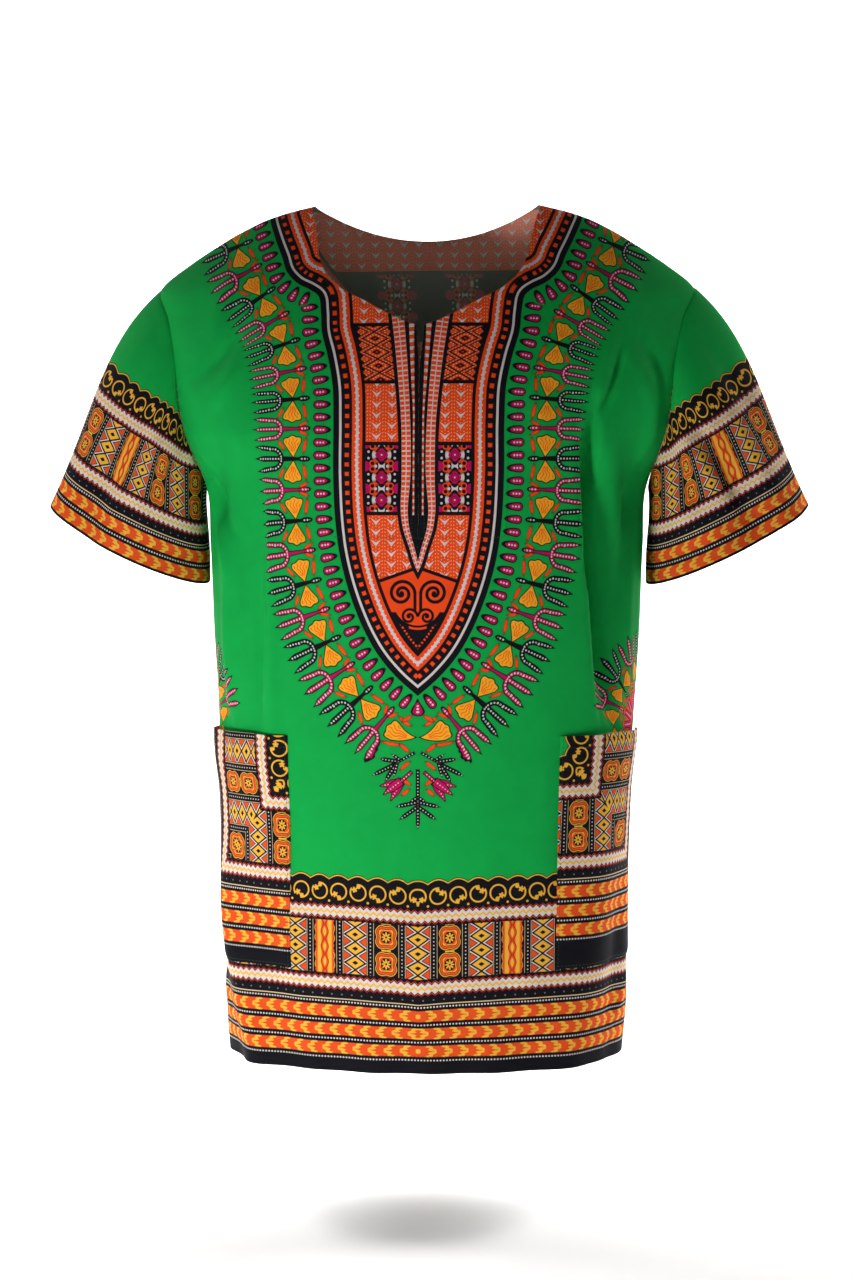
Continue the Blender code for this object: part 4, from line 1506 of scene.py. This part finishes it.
LARGE_CURL = ((14.6, -362.6), 9.2, 5.6, 1.45, 2.1)
SMALL_CURL = ((7.9, -383.6), 5.5, 4.4, 1.15, 1.5)
CURL_STEM = 2.6
ARC_HEIGHT = -369.5
ARC_RADIUS = 22.0


def curl(across, up, place, size, turn, stroke, core):
    """A spiral that winds in from the side of the middle line."""
    out, rise = across - place[0], up - place[1]
    radius = reach(out, rise)
    wound = radius - turn * bearing(out, rise) / (2.0 * np.pi) - size
    return least(most(abs(repeat(wound, turn)) - stroke, wound - stroke), radius - core)


def volutes(paint, across, up, inside, along, deep):
    """Two pairs of spirals on orange above an arc and a black point."""
    paint.lay(RED, inside)
    lens = reach(across, up - ARC_HEIGHT)
    below = up - ARC_HEIGHT + 10.0
    paint.lay(BLACK, most(ARC_RADIUS - lens, inside, below))
    paint.lay(RED, most(abs(lens - ARC_RADIUS - 2.9) - 1.0, across - 8.0, inside, below))
    dash = most(abs(repeat(along, 4.4)) - 1.1, abs(deep - 32.2) - 0.9, ARC_RADIUS + 4.5 - lens)
    paint.lay(RED, most(dash, below))
    stem = most(abs(across - CURL_STEM) - 1.35, abs(up + 370.0) - 9.0)
    for place, size, turn, stroke, core in (LARGE_CURL, SMALL_CURL):
        paint.lay(BLACK, most(curl(across, up, place, size, turn, stroke, core), inside))
    paint.lay(BLACK, most(stem, inside))


TONGUE_LINE = 3.3
LADDER_WIDTH = 8.1
LADDER_TIP = 3.0
BRICK_PITCH = 4.5


def neck_tongue(paint, across):
    """Black bands, a ladder of red bricks and a row of blocks round the slit."""
    along, deep = paint.coordinates("tongue")
    above = most(along - 150.0, 0.0)
    paint.lay(BLACK, -deep)
    width = least(LADDER_TIP + 0.05 * along, LADDER_WIDTH) + 0.030 * above
    ladder = most(TONGUE_LINE - deep, deep - TONGUE_LINE - width)
    paint.lay(WHITE, ladder)
    aside = abs(deep - TONGUE_LINE - 0.5 * width)
    brick = most(abs(repeat(along, BRICK_PITCH)) - 1.6, aside - 0.5 * width + 0.1, 0.4 - aside)
    paint.lay(RED, most(brick, ladder))
    middle = across - 4.2 - 0.045 * above
    block = most(abs(middle) - 0.7 - 0.020 * above, TONGUE_LINE + 1.5 + width - deep, 60.0 - along)
    paint.lay(RED, block)
    paint.lay(WHITE, most(block, abs(repeat(along, 6.8)) - 1.5))


DROP_PITCH = 11.5


def field_print(paint):
    """The green field: drops and flowering forks round the ornament, roses at the sides and a sprig."""
    drops(paint)
    along, out = paint.coordinates("flowers")
    ring_flowers(paint, along, out)
    side_rose(paint, along, out)
    sprig(paint)
    _, deep = paint.coordinates("shield")
    paint.lay(BLACK, -deep)


def drops(paint):
    """Drops with their points towards the ornament and a row of white dots in each."""
    along, out = paint.coordinates("drops")
    aside = abs(repeat(along, DROP_PITCH))
    past = out - 14.4
    shape = reach(aside, most(past, 0.33 * past)) - 2.9
    paint.lay(BLACK, shape - 1.2)
    paint.lay(MAGENTA, shape)
    dots = reach(aside, repeat(out, 2.8, 0.6))
    paint.lay(WHITE, most(dots - 0.88, shape + 0.9))


FORK_PITCH = 55.0
CROWN_OUT = 58.0
CROWN_RADIUS = 8.7
DOT_PITCH = 2.9
DOT_RADIUS = 0.80


def fork(paint, aside, out, colour, tip):
    """A dotted bud, a stem and three prongs, outlined in black. Left out where tip is above zero."""
    away = abs(aside)
    past = out - CROWN_OUT
    bud = reach(away, (out - 27.0) * 0.45) - 1.8
    stem = most(away - 0.7 - 0.06 * most(out - 34.0, 0.0), abs(out - 40.0) - 12.0)
    circle = reach(away, past)
    bend = circle - CROWN_RADIUS
    prong = away - CROWN_RADIUS - 0.10 * past
    crown = most(abs(bend) - 1.55, past)
    outer = most(abs(prong) - least(1.55, 0.30 * (16.5 - past)), -past)
    middle = most(away - least(1.65, 0.30 * (17.5 - past)), CROWN_OUT - 8.0 - out)
    shape = most(least(bud, stem, crown, outer, middle), tip)
    paint.lay(BLACK, shape - 0.95)
    if colour != BLACK:
        paint.lay(colour, shape)
    level = repeat(out, DOT_PITCH)
    arc = repeat(bearing(away, past) * CROWN_RADIUS, DOT_PITCH)
    centred = reach(away, level)
    spot = least(most(reach(bend, arc), past * 0.2), most(reach(prong, level), past * -0.2), centred)
    paint.lay(WHITE, most(spot - DOT_RADIUS, shape + 0.25, 9.0 - abs(out - 40.0)))
    paint.lay(WHITE, most(centred - 0.75, abs(out - 27.0) - 3.0, tip))


def fan(paint, across, up):
    """A fan-shaped flower that opens along the first axis, with a scalloped edge and red veins."""
    away = abs(up)
    ripple = work("COSINE", 11.0 * bearing(across - 3.0, up))
    head = reach(across - 4.4, up) - 12.6 - 0.55 * ripple
    shape = most(head, away - 1.0 - 0.64 * across, away - 8.4 - 0.3 * ripple)
    paint.lay(BLACK, shape - 1.1)
    paint.lay(YELLOW, shape)
    angle = bearing(across + 1.5, up)
    radius = reach(across + 1.5, up)
    bent = angle + 0.07 * work("SINE", radius * 0.9)
    vein = abs(repeat(bent, 0.24)) * radius - 0.42
    paint.lay(RED, most(vein, shape + 1.5, 5.0 - radius), 0.3)


def leaf(paint, across, up, long=6.0, wide=1.9):
    body = reach(across * (wide / long), up) - wide
    paint.lay(BLACK, body - 0.3, 0.3)
    paint.lay(RED, body + 0.1, 0.3)


def ring_flowers(paint, along, out):
    """Black forks with a fan on each side of the stem, and plain magenta forks between them."""
    aside = repeat(along, FORK_PITCH)
    away = abs(aside)
    fork(paint, repeat(along, FORK_PITCH, 0.5 * FORK_PITCH), out, MAGENTA, out - 90.0)
    fork(paint, aside, out, BLACK, 16.0 - abs(along))
    fan(paint, *seen_from(away, out, (3.4, 37.5), 4.0))
    leaf(paint, *seen_from(away, out, (12.0, 26.2), -10.0), long=6.6, wide=1.7)
    leaf(paint, *seen_from(away, out, (12.4, 49.5), 34.0), long=5.2, wide=1.4)
    leaf(paint, *seen_from(away, out, (23.4, 28.0), 66.0), long=4.6, wide=1.4)


def blade(paint, across, up, start, end, width, colour=BLACK):
    """A dotted leaf or twig from a start to a pointed end, outlined in black."""
    step = (end[0] - start[0], end[1] - start[1])
    length = float(np.hypot(*step))
    along, aside = seen_from(across, up, start, float(np.degrees(np.arctan2(step[1], step[0]))))
    taper = least(width, 0.34 * (length - along))
    shape = most(abs(aside) - taper, abs(along - 0.5 * length) - 0.5 * length)
    if colour != BLACK:
        paint.lay(BLACK, shape - 0.9)
    paint.lay(colour, shape)
    paint.lay(WHITE, most(reach(aside, repeat(along, DOT_PITCH)) - 0.55, shape + 0.5))


SPRIG_LEAVES = (
    ((9.8, -475.4), -32.0, 5.0),
    ((12.0, -502.0), 40.0, 5.6),
    ((11.6, -518.0), 140.0, 5.6),
    ((10.2, -533.0), 32.0, 4.4),
    ((11.2, -542.0), 142.0, 4.4),
)
SPRIG_TWIGS = (
    ((2.5, -506.0), (25.0, -518.5), 1.5),
    ((17.5, -514.5), (36.5, -511.5), 2.1),
    ((19.0, -516.0), (42.0, -527.5), 2.2),
    ((19.0, -515.5), (30.5, -533.5), 2.2),
    ((18.5, -515.0), (22.0, -529.0), 1.8),
    ((15.0, -513.5), (24.5, -507.0), 1.6),
)
SPRIG_PETALS = (
    ((6.0, -524.0), (22.0, -538.0), 1.2),
    ((15.5, -533.0), (34.0, -536.5), 3.3),
    ((15.5, -533.0), (24.5, -549.5), 3.3),
    ((15.5, -532.0), (31.0, -544.0), 3.4),
)
SPRIG_STEM = (
    ((0.0, -521.0), (0.0, -576.0), 1.9),
    ((0.0, -551.0), (21.0, -555.5), 2.1),
    ((0.0, -555.0), (17.5, -567.5), 2.1),
    ((0.0, -546.5), (8.5, -551.5), 1.6),
)


def sprig(paint):
    """The plant on the middle line under the ornament's tip."""
    across, up = paint.coordinates("plain")
    for place, degrees, size in SPRIG_LEAVES:
        leaf(paint, *seen_from(across, up, place, degrees), long=size, wide=1.7)
    for start, end, width in SPRIG_TWIGS + SPRIG_STEM:
        blade(paint, across, up, start, end, width)
    for start, end, width in SPRIG_PETALS:
        blade(paint, across, up, start, end, width, MAGENTA)


# The drops' map is further out than this only near the side seam, where the rose is
ROSE_ONLY = 200.0
ROSE_RIM = 35.0


def side_rose(paint, along, out):
    """Petals round the rose on the side seam. The rose's map starts at its middle."""
    elsewhere = ROSE_ONLY - paint.coordinates("drops")[1]
    radius = out + ROSETTE_INSET * MILLIMETRES
    petal = saw(along, 0.5 * FORK_PITCH)
    rim = ROSE_RIM - 5.5 * petal * petal
    inside = most(radius - rim, elsewhere)
    paint.lay(BLACK, inside - 1.0)
    paint.lay(RED, inside)
    side = abs(repeat(along, 0.5 * FORK_PITCH)) * radius * (1.0 / (MILLIMETRES * ROSETTE_RADIUS))
    core = most(side - 2.6, abs(radius - 22.5) - 8.4, elsewhere)
    paint.lay(BLACK, core - 0.9)
    paint.lay(MAGENTA, core)
    paint.lay(WHITE, most(reach(side, repeat(radius, 2.3)) - 0.6, core))
    paint.lay(BLACK, most(radius - 9.0, elsewhere))


REVERSE_FADE = 0.34
REVERSE_COLOUR = (0.55, 0.60, 0.52, 1.0)
UNEVEN_DARK = 0.90
UNEVEN_LIGHT = 1.08


def noise(tree, scale, detail):
    """Noise on the piece's own coordinates."""
    place = tree.nodes.new("ShaderNodeTexCoord")
    cloud = tree.nodes.new("ShaderNodeTexNoise")
    cloud.inputs["Scale"].default_value = scale
    cloud.inputs["Detail"].default_value = detail
    tree.links.new(place.outputs["Object"], cloud.inputs["Vector"])
    return cloud.outputs[0]


def relief(tree, height, strength, distance, under=None):
    """A fine relief of the surface, over another one where there is one."""
    bump = tree.nodes.new("ShaderNodeBump")
    bump.inputs["Strength"].default_value = strength
    bump.inputs["Distance"].default_value = distance
    tree.links.new(height, bump.inputs["Height"])
    if under is not None:
        tree.links.new(under, bump.inputs["Normal"])
    return bump.outputs[0]


def finish_print(paint, reverse):
    """Cotton under the print: a paler reverse, slight unevenness, weave and small rumples."""
    tree, shader = paint.tree, paint.shader
    if reverse:
        paint.colour = mixed(tree, REVERSE_FADE, paint.colour, REVERSE_COLOUR)
    shade = tree.nodes.new("ShaderNodeMapRange")
    shade.inputs["To Min"].default_value = UNEVEN_DARK
    shade.inputs["To Max"].default_value = UNEVEN_LIGHT
    tree.links.new(noise(tree, 46.0, 5.0), shade.inputs["Value"])
    worn = mixed(tree, 1.0, paint.colour, shade.outputs[0], "MULTIPLY")
    tree.links.new(worn, shader.inputs["Base Color"])
    weave = relief(tree, noise(tree, 900.0, 2.0), 0.18, 0.0004)
    rumples = relief(tree, noise(tree, 24.0, 3.0), 0.30, 0.0035, weave)
    tree.links.new(rumples, shader.inputs["Normal"])
    shader.inputs["Roughness"].default_value = 0.78
    shader.inputs["Specular IOR Level"].default_value = 0.06


def printed_cotton(name, ground, draw):
    """A print and its reverse."""
    pair = []
    for reverse in (False, True):
        paint = Print(name + ("_reverse" if reverse else ""), ground)
        draw(paint)
        finish_print(paint, reverse)
        pair.append(paint.material)
    return pair


def plain_green(paint):
    _, up = paint.coordinates("border")
    paint.lay(GREEN, up)


# Sewing: rows of stitches by run and height on the panels. The facing is the neck's lining, whose
# edge is sewn down round the ornament
NECK_STITCH_OFF = 0.004
SLIT_STITCH_OFF = 0.0055
SLIT_STITCH_LOW = -0.321
NECK_STITCH_SHARES = (0.02, 0.985)
HEM_STITCH_RISE = 0.016
CUFF_STITCH_RISE = 0.019
POCKET_EDGE_STITCH = 0.0025
POCKET_HEM_STITCH = 0.012
FACING = (
    (0.1420, -0.0720),
    (0.1200, -0.1180),
    (0.1020, -0.1640),
    (0.0880, -0.2020),
    (0.0815, -0.2300),
    (0.0790, -0.3120),
    (0.0400, -0.3128),
    (0.0000, -0.3132),
)
ROW_STEP = 0.004
STITCH_SIZES = {"Stitch length": 0.0027, "Stitch pitch": 0.0036, "Thread radius": 0.00026}
STITCH_SEGMENTS = 6
STITCH_RINGS = 4
THREAD = (0.006, 0.060, 0.020)
THREAD_SHADES = (0.5, 1.6)


def walked(corners):
    """Evenly spaced places along straight lines between corners."""
    corners = np.asarray(corners, float)
    length = summed(np.linalg.norm(np.diff(corners, axis=0), axis=1))
    at = np.linspace(0.0, length[-1], max(2, int(length[-1] / ROW_STEP)))
    return np.stack([np.interp(at, length, values) for values in corners.T], axis=1)


def panel_rows(panel):
    """Rows of stitches of a body panel: neckline, hem and, on the front, slit and facing."""
    hem_height = HEM + HEM_STITCH_RISE
    rows = []
    for side in (-1, 1):
        shares = np.linspace(*NECK_STITCH_SHARES, NECK_SAMPLES)
        neck = np.stack(neck_edge(panel, side, shares), axis=1)
        neck = neck + NECK_STITCH_OFF * path_outward(neck)
        reach = half_girth(panel, side, [hem_height])[0] - NECK_STITCH_OFF
        lines = [neck, [(0.0, hem_height), (reach, hem_height)]]
        if panel == "front":
            top = NOTCH - NECK_STITCH_OFF
            corner = (SLIT_STITCH_OFF, SLIT_STITCH_LOW)
            lines.append([(SLIT_STITCH_OFF, top), corner, (0.0, SLIT_STITCH_LOW)])
            lines.append(FACING)
        for line in lines:
            row = walked(line)
            points, normals = body_sheet(panel, side * row[:, :1], row[:, 1:])
            rows.append((points[:, 0], normals[:, 0]))
    return rows


def cuff_rows(side):
    points, normals, _, down = sleeve_cloth(side)
    level = int(np.argmin(np.abs((down[-1] - down).mean(axis=1) - CUFF_STITCH_RISE)))
    ring = np.append(np.arange(points.shape[1]), 0)
    return [(points[level, ring], normals[level, ring])]


def pocket_rows(side):
    """Rows of stitches round a pocket's three sewn edges and along its top hem."""
    base, normals, run, height, _ = pocket_sheet(side)
    faces = base + SHEET * normals
    across = np.abs(run - run[:, :1])
    edge_column = int(np.argmin(np.abs(across[-1] - POCKET_EDGE_STITCH)))
    low_row = int(np.argmin(np.abs(height[:, 0] - POCKET_BOTTOM - POCKET_EDGE_STITCH)))
    hem_row = int(np.argmin(np.abs(POCKET_TOP - POCKET_HEM_STITCH - height[:, 0])))
    first, last = edge_column, run.shape[1] - 1 - edge_column
    rows = [(faces[low_row:, place], normals[low_row:, place]) for place in (first, last)]
    rows += [(faces[row, first : last + 1], normals[row, first : last + 1]) for row in (low_row, hem_row)]
    return rows


def stitch_tree(thread):
    """Geometry Nodes that lay one stitch after another along every row."""
    tree = bpy.data.node_groups.new("stitches", "GeometryNodeTree")
    face = tree.interface
    face.new_socket("Geometry", in_out="INPUT", socket_type="NodeSocketGeometry")
    for name in STITCH_SIZES:
        face.new_socket(name, in_out="INPUT", socket_type="NodeSocketFloat")
    face.new_socket("Geometry", in_out="OUTPUT", socket_type="NodeSocketGeometry")
    nodes = tree.nodes
    given = nodes.new("NodeGroupInput")
    curve = nodes.new("GeometryNodeMeshToCurve")
    spaced = nodes.new("GeometryNodeResampleCurve")
    spaced.mode = "LENGTH"
    ball = nodes.new("GeometryNodeMeshUVSphere")
    ball.inputs["Segments"].default_value = STITCH_SEGMENTS
    ball.inputs["Rings"].default_value = STITCH_RINGS
    ball.inputs["Radius"].default_value = 1.0
    half = nodes.new("ShaderNodeMath")
    half.operation = "MULTIPLY"
    half.inputs[1].default_value = 0.5
    size = nodes.new("ShaderNodeCombineXYZ")
    shaped = nodes.new("GeometryNodeTransform")
    ahead = nodes.new("GeometryNodeInputTangent")
    facing = nodes.new("GeometryNodeInputNamedAttribute")
    facing.data_type = "FLOAT_VECTOR"
    facing.inputs["Name"].default_value = "facing"
    along = nodes.new("FunctionNodeAlignRotationToVector")
    along.axis = "X"
    upright = nodes.new("FunctionNodeAlignRotationToVector")
    upright.axis = "Z"
    upright.pivot_axis = "X"
    laid = nodes.new("GeometryNodeInstanceOnPoints")
    real = nodes.new("GeometryNodeRealizeInstances")
    painted = nodes.new("GeometryNodeSetMaterial")
    painted.inputs["Material"].default_value = thread
    result = nodes.new("NodeGroupOutput")
    links = (
        (given, "Geometry", curve, "Mesh"),
        (curve, "Curve", spaced, "Curve"),
        (given, "Stitch pitch", spaced, "Length"),
        (given, "Stitch length", half, 0),
        (half, 0, size, "X"),
        (given, "Thread radius", size, "Y"),
        (given, "Thread radius", size, "Z"),
        (ball, "Mesh", shaped, "Geometry"),
        (size, "Vector", shaped, "Scale"),
        (ahead, "Tangent", along, "Vector"),
        (along, "Rotation", upright, "Rotation"),
        (facing, "Attribute", upright, "Vector"),
        (spaced, "Curve", laid, "Points"),
        (shaped, "Geometry", laid, "Instance"),
        (upright, "Rotation", laid, "Rotation"),
        (laid, "Instances", real, "Geometry"),
        (real, "Geometry", painted, "Geometry"),
        (painted, "Geometry", result, "Geometry"),
    )
    for source, out, target, into in links:
        tree.links.new(source.outputs[out], target.inputs[into])
    return tree


def sewn(name, rows, tree):
    """The stitches of one piece, as a plain mesh."""
    points = np.concatenate([row[0] for row in rows])
    facings = np.concatenate([row[1] for row in rows])
    ends = np.cumsum([len(row[0]) for row in rows])
    starts = np.setdiff1d(np.arange(len(points)), ends - 1)
    guide = bpy.data.meshes.new(name + "_guide")
    guide.from_pydata(points.tolist(), np.stack([starts, starts + 1], axis=1).tolist(), [])
    layer = guide.attributes.new("facing", "FLOAT_VECTOR", "POINT")
    layer.data.foreach_set("vector", facings.astype(np.float32).reshape(-1))
    line = placed(name + "_guide", guide)
    modifier = line.modifiers.new("stitches", "NODES")
    modifier.node_group = tree
    for socket in tree.interface.items_tree:
        if socket.in_out == "INPUT" and socket.name in STITCH_SIZES:
            modifier[socket.identifier] = STITCH_SIZES[socket.name]
    made = bpy.data.meshes.new_from_object(line.evaluated_get(bpy.context.evaluated_depsgraph_get()))
    made.name = name
    bpy.data.objects.remove(line)
    made.shade_smooth()
    return placed(name, made)


def cotton_thread():
    """Twisted green thread."""
    material, tree, shader = new_material("cotton_thread")
    twist = noise(tree, 1800.0, 2.0)
    dark, light = [(*(share * np.array(THREAD)), 1.0) for share in THREAD_SHADES]
    tree.links.new(mixed(tree, twist, dark, light), shader.inputs["Base Color"])
    tree.links.new(relief(tree, twist, 0.5, 0.0002), shader.inputs["Normal"])
    shader.inputs["Roughness"].default_value = 0.7
    shader.inputs["Specular IOR Level"].default_value = 0.2
    return material


CAMERA_DISTANCE = 2.53
CAMERA_TURN = np.radians(3.3)
CAMERA_TILT = np.radians(2.69)
CAMERA_HEIGHT = -0.292
CAMERA_LENS = 75.0
PHOTO_SIDE = 36.0


def aim_camera():
    camera = placed("camera", bpy.data.cameras.new("camera"))
    camera.data.lens = CAMERA_LENS
    camera.data.sensor_fit = "VERTICAL"
    camera.data.sensor_height = PHOTO_SIDE
    place = CAMERA_DISTANCE * np.array([np.sin(CAMERA_TURN), -np.cos(CAMERA_TURN)])
    camera.location = (place[0], place[1], CAMERA_HEIGHT)
    camera.rotation_euler = (0.5 * np.pi - CAMERA_TILT, 0.0, CAMERA_TURN)
    bpy.context.scene.camera = camera


FLOOR_HEIGHT = -0.95
FLOOR_HALF = 6.0
WALL_DISTANCE = 3.2
WALL_BEND = 1.2
WALL_RISE = 6.0
BEND_STEPS = 16


def pale_floor():
    """A pale floor that bends up into a wall behind."""
    turns = np.linspace(0.0, 0.5 * np.pi, BEND_STEPS)
    bend = WALL_DISTANCE + WALL_BEND * np.sin(turns)
    away = np.concatenate([[-FLOOR_HALF], bend, [WALL_DISTANCE + WALL_BEND]])
    rise = np.concatenate([[0.0], WALL_BEND * (1.0 - np.cos(turns)), [WALL_RISE]])
    sides = (-FLOOR_HALF, FLOOR_HALF)
    points = [(x, y, FLOOR_HEIGHT + z) for y, z in zip(away, rise) for x in sides]
    mesh = bpy.data.meshes.new("floor")
    mesh.from_pydata(points, [], sheet_faces(len(away), 2).tolist())
    mesh.shade_smooth()
    material, _, shader = new_material("pale_paper")
    shader.inputs["Base Color"].default_value = (0.90, 0.90, 0.90, 1.0)
    shader.inputs["Roughness"].default_value = 0.9
    mesh.materials.append(material)
    placed("floor", mesh)


ROOM_LIGHT = 0.07
LIGHT_COLUMNS = ("name", "place", "aim", "size", "power", "spread")
LIGHTS = (
    ("key", (-0.60, -1.08, -0.84), (0.03, 0.0, -0.54), 0.20, 9.6, 180),
    ("fill", (0.0, -2.5, -0.80), (0.0, 0.0, -0.56), 0.6, 4.0, 180),
    ("wall_right", (-2.8, 2.2, 1.2), (0.8, 4.8, -0.4), 2.4, 150.0, 110),
    ("wall_left", (2.8, 2.2, 1.2), (-0.8, 4.8, -0.4), 2.4, 150.0, 110),
    ("floor_right", (-1.7, 0.9, 0.7), (-1.0, 0.9, -0.95), 1.4, 40.0, 85),
    ("floor_left", (1.7, 0.9, 0.7), (1.0, 0.9, -0.95), 1.4, 40.0, 85),
)


def studio_light():
    for light in named_rows(LIGHTS, LIGHT_COLUMNS):
        data = bpy.data.lights.new(light["name"], "AREA")
        data.energy = light["power"]
        data.size = light["size"]
        data.spread = np.radians(light["spread"])
        lamp = placed(light["name"], data)
        lamp.location = light["place"]
        way = Vector(light["aim"]) - Vector(light["place"])
        lamp.rotation_euler = way.to_track_quat("-Z", "Y").to_euler()
        lamp.visible_camera = False
    world = bpy.data.worlds.new("soft_room")
    world.use_nodes = True
    sky = world.node_tree.nodes["Background"]
    sky.inputs["Color"].default_value = (1.0, 1.0, 1.0, 1.0)
    sky.inputs["Strength"].default_value = ROOM_LIGHT
    bpy.context.scene.world = world
    bpy.context.scene.view_settings.view_transform = "Standard"


FRONT_AREA = 0.400
BACK_AREA = 0.408


def declare(piece, node, stitches):
    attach(stitches, "root")
    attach(piece, "root")
    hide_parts(node)


def main():
    border = printed_cotton("border_print", GREEN, border_print)
    neck = printed_cotton("neck_print", RED, neck_print)
    field = printed_cotton("field_print", GREEN, field_print)
    plain = printed_cotton("plain_green", GREEN, plain_green)
    body_prints = border + neck + field
    tree = stitch_tree(cotton_thread())
    for panel, make, area in (("front", front_piece, FRONT_AREA), ("back", back_piece, BACK_AREA)):
        stitches = sewn(panel + "_stitches", panel_rows(panel), tree)
        declare(make(body_prints), panel, stitches)
    for name, side in (("right", -1), ("left", 1)):
        sleeve = sleeve_piece("sleeve_" + name + "_cloth", side, border + plain)
        stitches = sewn("cuff_" + name + "_stitches", cuff_rows(side), tree)
        declare(sleeve, "sleeve_" + name, stitches)
        pocket = pocket_piece("pocket_" + name + "_cloth", side, border)
        stitches = sewn("pocket_" + name + "_stitches", pocket_rows(side), tree)
        declare(pocket, "pocket_" + name, stitches)
    aim_camera()
    pale_floor()
    studio_light()


main()
